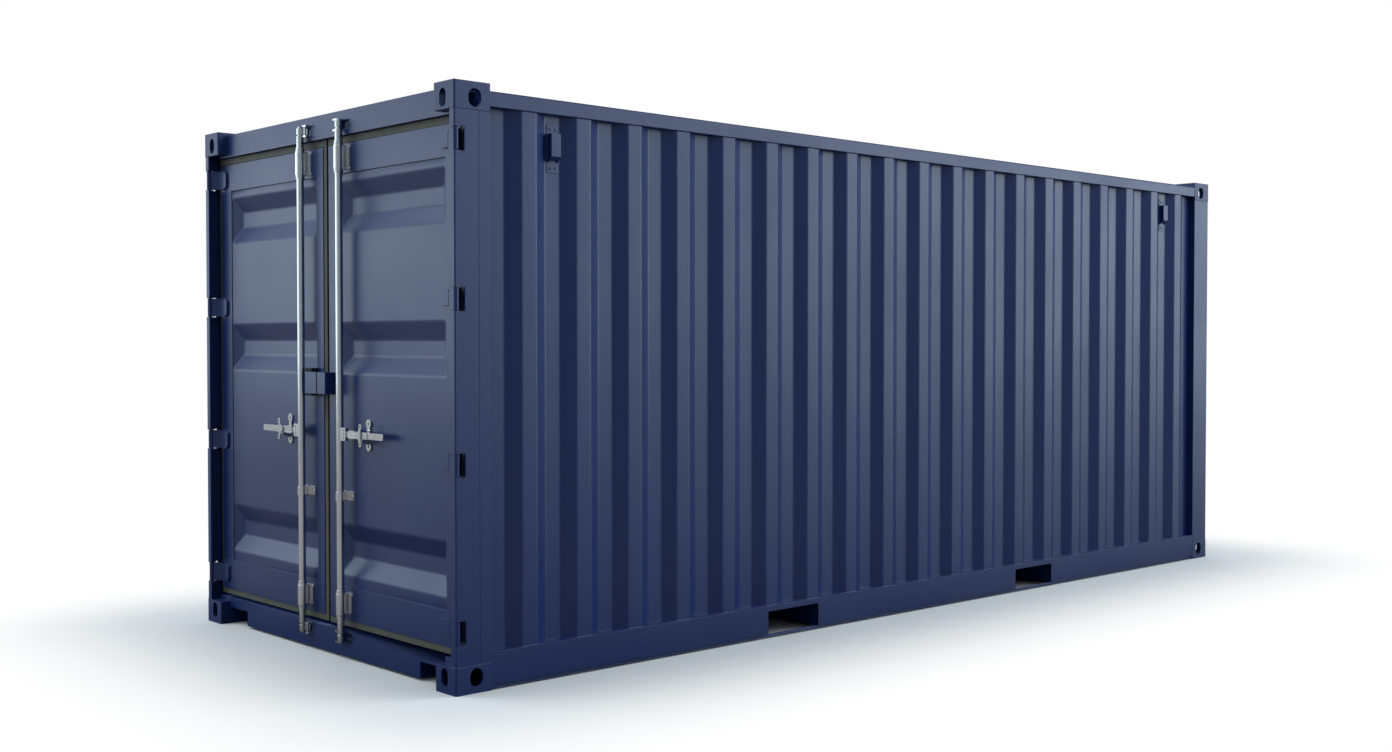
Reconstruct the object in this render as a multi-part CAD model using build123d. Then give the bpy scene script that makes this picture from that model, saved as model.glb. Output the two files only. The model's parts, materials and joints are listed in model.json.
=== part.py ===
# Twenty-foot dry freight container with two end doors, in millimetres.
# X runs along the container with the doors at -X, Y across it, Z up.
# The origin lies on the floor that the container stands on, under its middle.
# "Right" and "left" are as seen by someone facing the doors, so right is -Y.
# Pieces of the right side are drawn, and the left side is their mirror image.
import os
from math import hypot

from build123d import *

# Envelope
LENGTH = 6058.0
WIDTH = 2438.0
HEIGHT = 2591.0

# Corner castings and their standard lifting holes
CASTING_LENGTH = 178.0
CASTING_WIDTH = 162.0
CASTING_HEIGHT = 118.0
CASTING_EDGE_RADIUS = 8.0
CASTING_WALL = 16.0
CASTING_INNER_WALL = 11.0
CASTING_PLATE = 28.0
CASTING_INNER_PLATE = 10.0
SLOT_LENGTH = 124.0
SLOT_WIDTH = 63.5
SLOT_END_SET = 102.5
SLOT_SIDE_SET = 89.5
SIDE_HOLE_WIDTH = 63.5
END_HOLE_WIDTH = 51.0
FACE_HOLE_HEIGHT = 79.0
FACE_HOLE_OFFSET = 68.0

# Steel frame
FACE_SET = 2.0
J_BAR_THICKNESS = 12.0
J_BAR_FLANGE = 38.0
J_BAR_WEB = 120.0
INNER_POST_WIDTH = 49.0
POST_SHEET = 6.0
FRONT_POST_RETURN = 34.0
TOP_RAIL_HEIGHT = 62.0
TOP_RAIL_WIDTH = 60.0
TOP_RAIL_WALL = 3.0
TOP_RAIL_DROP = 35.0
FRONT_RAIL_WALL = 4.0
BOTTOM_RAIL_BASE = 6.0
BOTTOM_RAIL_TOP = 165.0
BOTTOM_RAIL_SHEET = 4.5
BOTTOM_RAIL_FLANGE = 48.0
BOTTOM_RAIL_STEP = 12.0
BOTTOM_RAIL_LIP = 20.0

# Door opening
END_RECESS = 50.0
END_PLATE = 5.0
DOOR_STOP_SET = 6.0
HEADER_DEPTH = 116.0
HEADER_STOP_DEPTH = 41.0
HEADER_DROP = 14.0
SILL_BASE = 12.0
SILL_TOP = 140.0
SILL_NOTCH_WIDTH = 207.0
SILL_NOTCH_TOP = 87.0

# Floor
FLOOR_THICKNESS = 28.0
FLOOR_BOARDS = 5
FLOOR_JOINT = 2.0
CROSS_MEMBER_BASE = 17.0
CROSS_MEMBER_HEIGHT = 122.0
CROSS_MEMBER_FLANGE = 45.0
CROSS_MEMBER_SHEET = 4.0
CROSS_MEMBERS = 15
POCKET_WIDTH = 360.0
POCKET_HEIGHT = 115.0
POCKET_SPACING = 2050.0
POCKET_PLATE = 4.0

# Corrugated sheets
WALL_SHEET = 2.0
WALL_SET = 9.0
WALL_DEPTH = 36.0
WALL_CREST = 78.0
WALL_SLOPE = 68.0
WALL_VALLEY = 80.0
FRONT_WALL_DEPTH = 45.0
FRONT_WALL_CREST = 108.0
FRONT_WALL_SLOPE = 20.0
FRONT_WALL_VALLEY = 102.0
FRONT_WALL_SET = 8.0
ROOF_SHEET = 2.0
ROOF_RIB_HEIGHT = 20.0
ROOF_END_MARGIN = 60.0
ROOF_RIB_TOP = 91.0
ROOF_RIB_SLOPE = 14.0
ROOF_RIB_PITCH = 205.0
ROOF_RIM = 90.0

# Ventilators on the side walls
VENT_WIDTH = 66.0
VENT_HEIGHT = 212.0
VENT_BOX_WIDTH = 52.0
VENT_BOX_HEIGHT = 132.0
VENT_DEPTH = 33.0
VENT_PLATE = 3.0
VENT_DROP = 146.0

# Door leaves
LEAF_SET = 66.0
LEAF_THICKNESS = 50.0
LEAF_TUBE = 3.0
LEAF_POST_GAP = 8.0
LEAF_FLOOR_GAP = 11.0
LEAF_HEADER_GAP = 37.0
LEAF_BOTTOM_RAIL = 159.0
LEAF_TOP_RAIL = 138.0
HINGE_STILE = 115.0
CENTRE_STILE_EDGE = 110.0
RIGHT_LEAF_CENTRE = 13.0
LEFT_LEAF_CENTRE = 43.0
PANEL_SET = 3.0
PANEL_SHEET = 2.0
PANEL_TROUGH_DEPTH = 36.0
PANEL_TROUGH_HEIGHT = 240.0
PANEL_TROUGH_SLOPE = 80.0
PANEL_TROUGH_END = 64.0
PANEL_TROUGH_DROPS = (296.0, 961.0)
PANEL_TROUGH_RISE = 334.0
PANEL_TROUGH_MARGIN = 2.0
GASKET_REACH = 30.0
GASKET_LIP = 6.0
GASKET_BASE = 8.0
GASKET_SET = 4.0
RIGHT_GASKET_REACH = 9.0

# Hinges
PIN_SET = 17.0
PIN_DIAMETER = 16.0
PIN_CLEARANCE = 0.3
KNUCKLE_RADIUS = 13.0
HINGE_DROPS = (77.0, 750.0)
HINGE_RISES = (795.0, 86.0)
BLADE_HEIGHT = 96.0
BLADE_THICKNESS = 12.0
BLADE_LENGTH = 68.0
BLADE_HEEL_SET = 6.0
BLADE_CORNER = 20.0
BLADE_CORNER_DROP = 15.0
HINGE_SLOT_DEPTH = 52.0
HINGE_SLOT_CLEARANCE = 4.0
LUG_GAP = 2.0
LUG_THICKNESS = 15.0
LUG_REACH = 20.0
J_BAR_CORNER = 6.0

# Lock rods, cams and keepers
ROD_PLACE = 190.0
ROD_SET = 24.0
ROD_DIAMETER = 34.0
ROD_RISE = 64.0
ROD_DROP = 44.0
ROD_CLEARANCE = 0.4
NECK_RADIUS = 11.0
NECK_LENGTH = 46.0
CAM_SET = 24.0
CAM_THICKNESS = 30.0
CAM_COLLAR_RADIUS = 17.0
CAM_FINGER = 10.0
CAM_ROOT = 12.0
CAM_SHOULDER = 7.0
CAM_HEEL = 4.0
CAM_TIP_SET = 2.0
KEEPER_PIN_SET = 9.0
KEEPER_PIN_PLACE = 34.0
KEEPER_PIN_RADIUS = 6.0
KEEPER_PLATE = 8.0
KEEPER_GAP = 6.0
KEEPER_WIDTH = 36.0
KEEPER_CLEARANCE = 4.0
RECESS_HALF_WIDTH = 55.0
RECESS_DEPTH = 24.0
RECESS_CLEARANCE = 5.0
BRACKET_RING = 23.5
BRACKET_END_RING = 21.5
BRACKET_END = 9.0
BRACKET_BASE_HALF = 42.0
BRACKET_BASE = 5.0
BRACKET_BASE_CORNER = 10.0
BRACKET_RIM_WIDTH = 7.0
BRACKET_RIM_DEPTH = 6.0
BRACKET_NECK_HALF = 14.0
TOP_BRACKET_DROP = 4.0
TOP_BRACKET_LENGTH = 130.0
LOW_BRACKET_RISE = 24.0
LOW_BRACKET_LENGTH = 116.0
GUIDE_HEIGHT = 768.0
GUIDE_LENGTH = 44.0
GUIDE_BASE_HALF = 55.0
THRUST_RING_RADIUS = 20.5
THRUST_RING = 9.0
THRUST_GAP = 0.4

# Handles, catches and retainers
HANDLE_HEIGHT = 1062.0
HUB_LENGTH = 66.0
HUB_DEPTH = 18.0
HUB_HEIGHT = 62.0
HUB_CORNER = 5.0
HUB_DIMPLE_PLACE = 48.0
HUB_DIMPLE_RADIUS = 5.0
HUB_DIMPLE_DEPTH = 3.0
HUB_DIMPLE_PITCH = 18.0
TONGUE_THICKNESS = 8.0
TONGUE_HALF_HEIGHT = 13.0
HUB_PIN_PLACE = 105.0
HUB_PIN_DIAMETER = 12.0
HUB_PIN_CLEARANCE = 0.3
HANDLE_CHEEK = 4.0
CHEEK_CLEARANCE = 0.3
HANDLE_ROOT = 90.0
HANDLE_FORK_END = 130.0
HANDLE_TAPER_END = 170.0
HANDLE_ROOT_HEIGHT = 38.0
HANDLE_BAR = 32.0
HANDLE_GRIP_START = 262.0
HANDLE_GRIP = 9.0
HANDLE_GRIP_HEIGHT = 30.0
HANDLE_GRIP_CORNER = 8.0
HANDLE_GROOVE = 5.0
HANDLE_GROOVE_PLACE = 7.0
HANDLE_GROOVE_END = 172.0
HANDLE_GROOVE_DEPTH = 1.5
HANDLE_REACH = 400.0
HANDLE_OFFSET = 0.5
CATCH_PLACE = 196.0
CATCH_ARM = 40.0
CATCH_ARM_LEAN = 16.0
CATCH_ARM_WIDTH = 20.0
CATCH_LOBE_RADIUS = 13.0
CATCH_BOSS_RADIUS = 19.0
CATCH_SHOULDER_RADIUS = 10.0
CATCH_THICKNESS = 5.0
CATCH_GAP = 1.5
CATCH_RIVET_DIAMETER = 12.0
CATCH_SEAL_HOLE = 11.0
RETAINER_LOBE_RADIUS = 21.0
RETAINER_LOBE_PLACE = 53.0
RETAINER_WAIST = 26.0
RETAINER_PLATE = 7.0
RETAINER_HOLE = 12.0
RETAINER_LEDGE = 11.0
RETAINER_LEDGE_ROOT = 33.0
RETAINER_LEDGE_SET = 6.0
RETAINER_LEDGE_WIDTH = 26.0
SEAT_GAP = 0.3

# Lock box over the meeting stiles
BOX_HEIGHT = 103.0
BOX_CENTRE = 1296.0
BOX_SET = 5.0
BOX_PLATE = 4.0
BOX_SEAM = 4.0
RIGHT_BOX_EDGE = 82.0
LEFT_BOX_EDGE = 105.0

# Places worked out from the sizes above
DOOR_END = -LENGTH / 2
FRONT_END = LENGTH / 2
SIDE = WIDTH / 2
SIDE_FACE = SIDE - FACE_SET
CASTING_INSIDE = SIDE - CASTING_WIDTH
RAIL_END = LENGTH / 2 - CASTING_LENGTH
POST_BOTTOM = CASTING_HEIGHT
POST_TOP = HEIGHT - CASTING_HEIGHT
DOOR_FACE = DOOR_END + LEAF_SET
DOOR_BACK = DOOR_FACE + LEAF_THICKNESS
DOOR_STOP = DOOR_BACK + DOOR_STOP_SET
INNER_POST_INSIDE = SIDE_FACE - INNER_POST_WIDTH
END_FACE = DOOR_END + END_RECESS
TOP_RAIL_TOP = HEIGHT - TOP_RAIL_DROP
TOP_RAIL_BOTTOM = TOP_RAIL_TOP - TOP_RAIL_HEIGHT
HEADER_TOP = HEIGHT - HEADER_DROP
HEADER_BOTTOM = HEADER_TOP - HEADER_DEPTH
HEADER_STOP = HEADER_BOTTOM - HEADER_STOP_DEPTH
FLOOR_BASE = CROSS_MEMBER_BASE + CROSS_MEMBER_HEIGHT
FLOOR_TOP = FLOOR_BASE + FLOOR_THICKNESS
FRAME_INSIDE = SIDE_FACE - BOTTOM_RAIL_STEP - BOTTOM_RAIL_SHEET
POCKET_TOP = FLOOR_BASE - POCKET_PLATE
POCKET_BOTTOM = POCKET_TOP - POCKET_HEIGHT
LEAF_EDGE = INNER_POST_INSIDE - LEAF_POST_GAP
LEAF_BOTTOM = FLOOR_TOP + LEAF_FLOOR_GAP
LEAF_TOP = HEADER_BOTTOM - LEAF_HEADER_GAP
PANEL_FACE = DOOR_FACE + PANEL_SET
PIN_X = DOOR_END + PIN_SET
PIN_Y = SIDE - PIN_SET
BLADE_HEEL = LEAF_EDGE - BLADE_HEEL_SET
HINGE_HEIGHTS = ([LEAF_TOP - drop for drop in HINGE_DROPS]
                 + [LEAF_BOTTOM + rise for rise in HINGE_RISES])
TROUGH_HEIGHTS = ([LEAF_TOP - drop for drop in PANEL_TROUGH_DROPS]
                  + [LEAF_BOTTOM + PANEL_TROUGH_RISE])
ROD_X = DOOR_END + ROD_SET
ROD_BOTTOM = SILL_BASE + ROD_RISE
ROD_TOP = HEADER_TOP - ROD_DROP
CAM_HEIGHTS = (ROD_BOTTOM + CAM_SET, ROD_TOP - CAM_SET)
TOP_BRACKET = LEAF_TOP - TOP_BRACKET_DROP - TOP_BRACKET_LENGTH / 2
LOW_BRACKET = LEAF_BOTTOM + LOW_BRACKET_RISE + LOW_BRACKET_LENGTH / 2
HANDLE_X = ROD_X + HANDLE_OFFSET
HANDLE_HALF = TONGUE_THICKNESS / 2 + CHEEK_CLEARANCE + HANDLE_CHEEK
CATCH_X = HANDLE_X - HANDLE_HALF - CATCH_GAP


def block(x0, x1, y0, y1, z0, z1):
    """A plain block between two corners."""
    centre = ((x0 + x1) / 2, (y0 + y1) / 2, (z0 + z1) / 2)
    return Pos(*centre) * Box(abs(x1 - x0), abs(y1 - y0), abs(z1 - z0))


def standing(points, bottom, top):
    """A plan outline of (x, y) points, extruded upwards."""
    face = make_face(Polyline(*points, close=True))
    return Pos(0, 0, bottom) * extrude(face, top - bottom, dir=(0, 0, 1))


def across(points, y0, y1):
    """A side outline of (x, z) points, extruded across the container."""
    line = Polyline(*[(x, y0, z) for x, z in points], close=True)
    return extrude(make_face(line), y1 - y0, dir=(0, 1, 0))


def along(points, x0, x1):
    """An end outline of (y, z) points, extruded along the container."""
    line = Polyline(*[(x0, y, z) for y, z in points], close=True)
    return extrude(make_face(line), x1 - x0, dir=(1, 0, 0))


def peg(radius, x, y, bottom, top):
    """An upright cylinder."""
    return Pos(x, y, (bottom + top) / 2) * Cylinder(radius, top - bottom)


def rivet(radius, x0, x1, y, z):
    """A cylinder that lies along the container."""
    return Pos((x0 + x1) / 2, y, z) * Rot(0, 90, 0) * Cylinder(radius, x1 - x0)


def oval(width, height, depth, x, y, z, facing):
    """An upright oval cutter that faces along X or along Y."""
    solid = Rot(0, 90, 0) * extrude(SlotOverall(height, width), depth / 2, both=True)
    if facing == "y":
        solid = Rot(0, 0, 90) * solid
    return Pos(x, y, z) * solid


def left_of(shape):
    """The same piece on the left side."""
    return mirror(shape, about=Plane.XZ)


def group(solids):
    """Several separate solids kept as one piece."""
    return Compound(children=[solid for item in solids for solid in item.solids()])


def save(name, shape):
    shape.label = name
    export_step(shape, f"parts/{name}.step")


# Corner castings: hollow, with a slot in the top or bottom and two face holes
def corner_casting(end, side, upper):
    outside = block(0, CASTING_LENGTH, 0, CASTING_WIDTH, 0, CASTING_HEIGHT)
    outside = fillet(outside.edges().filter_by(Axis.Z).sort_by(Axis.X)[:2], CASTING_EDGE_RADIUS)
    cavity = block(CASTING_WALL, CASTING_LENGTH - CASTING_INNER_WALL,
                   CASTING_WALL, CASTING_WIDTH - CASTING_WALL,
                   CASTING_PLATE, CASTING_HEIGHT - CASTING_INNER_PLATE)
    slot = SlotOverall(SLOT_LENGTH, SLOT_WIDTH)
    slot = Pos(SLOT_END_SET, SLOT_SIDE_SET, 0) * extrude(slot, CASTING_PLATE)
    side_hole = oval(SIDE_HOLE_WIDTH, FACE_HOLE_HEIGHT, 2 * CASTING_WALL,
                     SLOT_END_SET, 0, FACE_HOLE_OFFSET, "y")
    end_hole = oval(END_HOLE_WIDTH, FACE_HOLE_HEIGHT, 2 * CASTING_WALL,
                    0, SLOT_SIDE_SET, FACE_HOLE_OFFSET, "x")
    casting = outside - cavity - slot - side_hole - end_hole
    casting = Pos(DOOR_END, -SIDE, 0) * casting
    if upper:
        casting = Pos(0, 0, HEIGHT) * mirror(casting, about=Plane.XY)
    if side == "left":
        casting = left_of(casting)
    if end == "front":
        casting = mirror(casting, about=Plane.YZ)
    return casting


CASTING_PLACES = (("door", "right"), ("door", "left"), ("front", "right"), ("front", "left"))


def corner_castings(places, upper):
    return group([corner_casting(end, side, upper) for end, side in places])


# Door posts: a hot-rolled J-bar outside and a pressed box section behind it
def hinge_slot(height):
    half = BLADE_HEIGHT / 2 + HINGE_SLOT_CLEARANCE
    return block(DOOR_END, DOOR_END + HINGE_SLOT_DEPTH, -SIDE,
                 -SIDE_FACE + J_BAR_FLANGE + J_BAR_THICKNESS, height - half, height + half)


def lug_places(height):
    """The undersides of the two lugs that hold one hinge pin."""
    half = BLADE_HEIGHT / 2 + LUG_GAP
    return height - half - LUG_THICKNESS, height + half


def lug_block(bottom):
    """A lug that fills the corner of the J-bar above or below a blade."""
    front = DOOR_END + FACE_SET
    lug = block(front, front + J_BAR_THICKNESS + LUG_REACH, -SIDE_FACE,
                -SIDE_FACE + J_BAR_THICKNESS + LUG_REACH, bottom, bottom + LUG_THICKNESS)
    corner = lug.edges().filter_by(Axis.Z).sort_by(Axis.X)[:2].sort_by(Axis.Y)[0]
    return fillet(corner, J_BAR_CORNER)


def door_post_bar():
    front = DOOR_END + FACE_SET
    outline = [(front, -SIDE_FACE), (front, -SIDE_FACE + J_BAR_FLANGE),
               (front + J_BAR_THICKNESS, -SIDE_FACE + J_BAR_FLANGE),
               (front + J_BAR_THICKNESS, -SIDE_FACE + J_BAR_THICKNESS),
               (DOOR_STOP, -SIDE_FACE + J_BAR_THICKNESS), (DOOR_STOP, -SIDE_FACE)]
    bar = standing(outline, POST_BOTTOM, POST_TOP)
    corner = bar.edges().filter_by(Axis.Z).sort_by(Axis.X)[:2].sort_by(Axis.Y)[0]
    bar = fillet(corner, J_BAR_CORNER)
    for height in HINGE_HEIGHTS:
        bar -= hinge_slot(height)
        for bottom in lug_places(height):
            bar -= lug_block(bottom)
    return bar


def inner_door_post():
    outside = block(DOOR_STOP, -RAIL_END, -SIDE_FACE, -INNER_POST_INSIDE, POST_BOTTOM, POST_TOP)
    inside = block(DOOR_STOP + POST_SHEET, -RAIL_END - POST_SHEET,
                   -SIDE_FACE + POST_SHEET, -INNER_POST_INSIDE - POST_SHEET,
                   POST_BOTTOM, POST_TOP)
    return outside - inside


def front_post():
    end = FRONT_END - FACE_SET
    outer = -SIDE_FACE
    back = RAIL_END
    inner = -CASTING_INSIDE
    t = POST_SHEET
    outline = [(back, outer), (end, outer), (end, inner),
               (end - FRONT_POST_RETURN, inner), (end - FRONT_POST_RETURN, inner - t),
               (end - t, inner - t), (end - t, outer + t), (back + t, outer + t),
               (back + t, outer + FRONT_POST_RETURN), (back, outer + FRONT_POST_RETURN)]
    post = standing(outline, POST_BOTTOM, POST_TOP)
    corner = post.edges().filter_by(Axis.Z).sort_by(Axis.X)[-2:].sort_by(Axis.Y)[0]
    return fillet(corner, t)


# Door end frame: header and sill, box sections with recesses for the cams
def cam_recess(height, side):
    half = CAM_THICKNESS / 2 + RECESS_CLEARANCE
    return block(END_FACE, END_FACE + RECESS_DEPTH,
                 side * ROD_PLACE - RECESS_HALF_WIDTH, side * ROD_PLACE + RECESS_HALF_WIDTH,
                 height - half, height + half)


def cam_recess_liner(height, side):
    half = CAM_THICKNESS / 2 + RECESS_CLEARANCE + END_PLATE
    reach = RECESS_HALF_WIDTH + END_PLATE
    return block(END_FACE, END_FACE + RECESS_DEPTH + END_PLATE,
                 side * ROD_PLACE - reach, side * ROD_PLACE + reach,
                 height - half, height + half)


def door_header():
    t = END_PLATE
    back = -RAIL_END
    stop = [(DOOR_STOP, HEADER_STOP), (back, HEADER_STOP), (back, POST_TOP),
            (END_FACE, POST_TOP), (END_FACE, HEADER_BOTTOM), (DOOR_STOP, HEADER_BOTTOM)]
    header = block(END_FACE, back, -CASTING_INSIDE, CASTING_INSIDE, HEADER_BOTTOM, HEADER_TOP)
    header += across(stop, -INNER_POST_INSIDE, INNER_POST_INSIDE)
    header -= block(END_FACE + t, back - t, -CASTING_INSIDE, CASTING_INSIDE,
                    HEADER_BOTTOM + t, HEADER_TOP - t)
    for side in (-1, 1):
        header += cam_recess_liner(CAM_HEIGHTS[1], side)
        header -= cam_recess(CAM_HEIGHTS[1], side)
    return header


def door_sill():
    t = END_PLATE
    back = -RAIL_END
    wide = CASTING_INSIDE - SILL_NOTCH_WIDTH
    sill = block(END_FACE, back, -wide, wide, SILL_BASE, SILL_TOP)
    sill += block(END_FACE, back, -CASTING_INSIDE, CASTING_INSIDE, SILL_NOTCH_TOP, SILL_TOP)
    sill -= block(END_FACE + t, back - t, -wide + t, wide - t, SILL_BASE + t, SILL_TOP - t)
    sill -= block(END_FACE + t, back - t, -CASTING_INSIDE, CASTING_INSIDE,
                  SILL_NOTCH_TOP + t, SILL_TOP - t)
    for side in (-1, 1):
        sill += cam_recess_liner(CAM_HEIGHTS[0], side)
        sill -= cam_recess(CAM_HEIGHTS[0], side)
    return sill


def threshold():
    """The step behind the doors, on the sill and on the two castings beside it."""
    back = -RAIL_END
    outline = [(END_FACE, POST_BOTTOM), (back, POST_BOTTOM), (back, FLOOR_TOP),
               (DOOR_STOP, FLOOR_TOP), (DOOR_STOP, SILL_TOP), (END_FACE, SILL_TOP)]
    step = across(outline, -INNER_POST_INSIDE, INNER_POST_INSIDE)
    return step - block(END_FACE, back, -CASTING_INSIDE, CASTING_INSIDE, POST_BOTTOM, SILL_TOP)


# Rails along the sides and across the blind end
def top_side_rail():
    outside = block(-RAIL_END, RAIL_END, -SIDE_FACE, -SIDE_FACE + TOP_RAIL_WIDTH,
                    TOP_RAIL_BOTTOM, TOP_RAIL_TOP)
    outside = fillet(outside.edges().filter_by(Axis.X), TOP_RAIL_WALL)
    inside = block(-RAIL_END, RAIL_END, -SIDE_FACE + TOP_RAIL_WALL,
                   -SIDE_FACE + TOP_RAIL_WIDTH - TOP_RAIL_WALL,
                   TOP_RAIL_BOTTOM + TOP_RAIL_WALL, TOP_RAIL_TOP - TOP_RAIL_WALL)
    return outside - inside


def pocket_centres():
    return (-POCKET_SPACING / 2, POCKET_SPACING / 2)


def bottom_side_rail():
    t = BOTTOM_RAIL_SHEET
    outer = -SIDE_FACE
    step = outer + BOTTOM_RAIL_STEP
    lip_top = BOTTOM_RAIL_BASE + t
    outline = [(outer + BOTTOM_RAIL_FLANGE, BOTTOM_RAIL_TOP), (outer, BOTTOM_RAIL_TOP),
               (outer, BOTTOM_RAIL_LIP), (step, BOTTOM_RAIL_LIP), (step, lip_top),
               (outer, lip_top), (outer, BOTTOM_RAIL_BASE), (step + t, BOTTOM_RAIL_BASE),
               (step + t, BOTTOM_RAIL_LIP + t), (outer + t, BOTTOM_RAIL_LIP + t),
               (outer + t, BOTTOM_RAIL_TOP - t), (outer + BOTTOM_RAIL_FLANGE, BOTTOM_RAIL_TOP - t)]
    rail = along(outline, -RAIL_END, RAIL_END)
    for centre in pocket_centres():
        rail -= block(centre - POCKET_WIDTH / 2, centre + POCKET_WIDTH / 2,
                      outer, step + t, POCKET_BOTTOM, POCKET_TOP)
    return rail


def front_top_rail():
    end = FRONT_END - FACE_SET
    t = FRONT_RAIL_WALL
    back = end - TOP_RAIL_WIDTH
    outside = block(back, end, -CASTING_INSIDE, CASTING_INSIDE, TOP_RAIL_BOTTOM, TOP_RAIL_TOP)
    inside = block(back + t, end - t, -CASTING_INSIDE, CASTING_INSIDE,
                   TOP_RAIL_BOTTOM + t, TOP_RAIL_TOP - t)
    return outside - inside


def front_bottom_rail():
    end = FRONT_END - FACE_SET
    t = FRONT_RAIL_WALL
    inner = end - 2 * BOTTOM_RAIL_FLANGE
    outline = [(inner, BOTTOM_RAIL_TOP), (end, BOTTOM_RAIL_TOP), (end, SILL_BASE),
               (end - BOTTOM_RAIL_FLANGE, SILL_BASE), (end - BOTTOM_RAIL_FLANGE, SILL_BASE + t),
               (end - t, SILL_BASE + t), (end - t, BOTTOM_RAIL_TOP - t),
               (inner, BOTTOM_RAIL_TOP - t)]
    return across(outline, -CASTING_INSIDE, CASTING_INSIDE)


# Under the floor: fork pockets and cross members
def fork_pocket(centre):
    half = POCKET_WIDTH / 2
    p = POCKET_PLATE
    outline = [(centre - half - p, POCKET_BOTTOM), (centre - half, POCKET_BOTTOM),
               (centre - half, POCKET_TOP), (centre + half, POCKET_TOP),
               (centre + half, POCKET_BOTTOM), (centre + half + p, POCKET_BOTTOM),
               (centre + half + p, POCKET_TOP + p), (centre - half - p, POCKET_TOP + p)]
    return across(outline, -FRAME_INSIDE, FRAME_INSIDE)


def cross_member(x):
    t = CROSS_MEMBER_SHEET
    low = CROSS_MEMBER_BASE
    top = FLOOR_BASE
    edge = x + CROSS_MEMBER_FLANGE
    outline = [(x, low), (edge, low), (edge, low + t), (x + t, low + t),
               (x + t, top - t), (edge, top - t), (edge, top), (x, top)]
    return across(outline, -FRAME_INSIDE, FRAME_INSIDE)


def cross_member_places():
    first = -RAIL_END + CROSS_MEMBER_FLANGE
    last = RAIL_END - 2 * CROSS_MEMBER_FLANGE
    step = (last - first) / (CROSS_MEMBERS - 1)
    clear = POCKET_WIDTH / 2 + POCKET_PLATE + CROSS_MEMBER_FLANGE
    places = [first + step * number for number in range(CROSS_MEMBERS)]
    return [x for x in places
            if all(abs(x + CROSS_MEMBER_FLANGE / 2 - centre) > clear
                   for centre in pocket_centres())]


def floor_boards():
    start = -RAIL_END
    stop = FRONT_END - FACE_SET - 2 * BOTTOM_RAIL_FLANGE
    pitch = (stop - start) / FLOOR_BOARDS
    edge = SIDE_FACE - BOTTOM_RAIL_FLANGE - FACE_SET
    return group([block(start + pitch * number, start + pitch * (number + 1) - FLOOR_JOINT,
                        -edge, edge, FLOOR_BASE, FLOOR_TOP)
                  for number in range(FLOOR_BOARDS)])


# Corrugated walls: one bent sheet each
def repeats(room, size, pitch):
    """How many pieces of one size fit in a row at a pitch."""
    return int((room - size) // pitch) + 1


def corrugation(half, crest, slope, valley, outer, depth):
    """Points (place, offset) of a sheet that starts and ends in a valley."""
    pitch = crest + 2 * slope + valley
    crests = repeats(2 * half, crest + 2 * slope, pitch)
    first = -(pitch * (crests - 1) + crest) / 2
    points = [(-half, outer - depth)]
    for number in range(crests):
        edge = first + pitch * number
        points += [(edge - slope, outer - depth), (edge, outer),
                   (edge + crest, outer), (edge + crest + slope, outer - depth)]
    points.append((half, outer - depth))
    return points


def side_wall():
    line = corrugation(RAIL_END, WALL_CREST, WALL_SLOPE, WALL_VALLEY, SIDE - WALL_SET, WALL_DEPTH)
    outline = [(x, -y) for x, y in line] + [(x, WALL_SHEET - y) for x, y in reversed(line)]
    return standing(outline, BOTTOM_RAIL_TOP, TOP_RAIL_BOTTOM)


def front_wall():
    line = corrugation(CASTING_INSIDE, FRONT_WALL_CREST, FRONT_WALL_SLOPE, FRONT_WALL_VALLEY,
                       FRONT_END - FRONT_WALL_SET, FRONT_WALL_DEPTH)
    outline = [(x, y) for y, x in line] + [(x - WALL_SHEET, y) for y, x in reversed(line)]
    return standing(outline, BOTTOM_RAIL_TOP, TOP_RAIL_BOTTOM)


def frustum(width, height, end_run, side_run, depth):
    """A pressing: a rectangle at z = 0 that narrows down to its floor."""
    def corners(wide, high, z):
        return [(x * wide / 2, y * high / 2, z) for x, y in ((-1, -1), (1, -1), (1, 1), (-1, 1))]

    mouth = corners(width, height, 0)
    floor = corners(width - 2 * end_run, height - 2 * side_run, -depth)
    sides = [(mouth[i - 1], mouth[i], floor[i], floor[i - 1]) for i in range(4)]
    return Solid(Shell([Face(Wire.make_polygon(points)) for points in [mouth, floor, *sides]]))


def roof():
    stop = FRONT_END - FACE_SET - TOP_RAIL_WIDTH
    rail = SIDE_FACE - FACE_SET
    top = TOP_RAIL_TOP + ROOF_SHEET
    sheet = block(-RAIL_END, RAIL_END, -rail, rail, TOP_RAIL_TOP, top)
    sheet += block(RAIL_END, stop, -CASTING_INSIDE, CASTING_INSIDE, TOP_RAIL_TOP, top)
    width = 2 * (rail - ROOF_RIM)
    length = ROOF_RIB_TOP + 2 * ROOF_RIB_SLOPE
    rib = frustum(length, width, ROOF_RIB_SLOPE, ROOF_RIB_SLOPE, ROOF_RIB_HEIGHT)
    rib = mirror(rib, about=Plane.XY)
    ribs = repeats(2 * (RAIL_END - ROOF_END_MARGIN), length, ROOF_RIB_PITCH)
    first = -ROOF_RIB_PITCH * (ribs - 1) / 2
    places = [first + ROOF_RIB_PITCH * number for number in range(ribs)]
    for x in places:
        sheet += Pos(x, 0, top) * rib
    for x in places:
        sheet -= Pos(x, 0, TOP_RAIL_TOP) * rib
    return sheet


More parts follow.
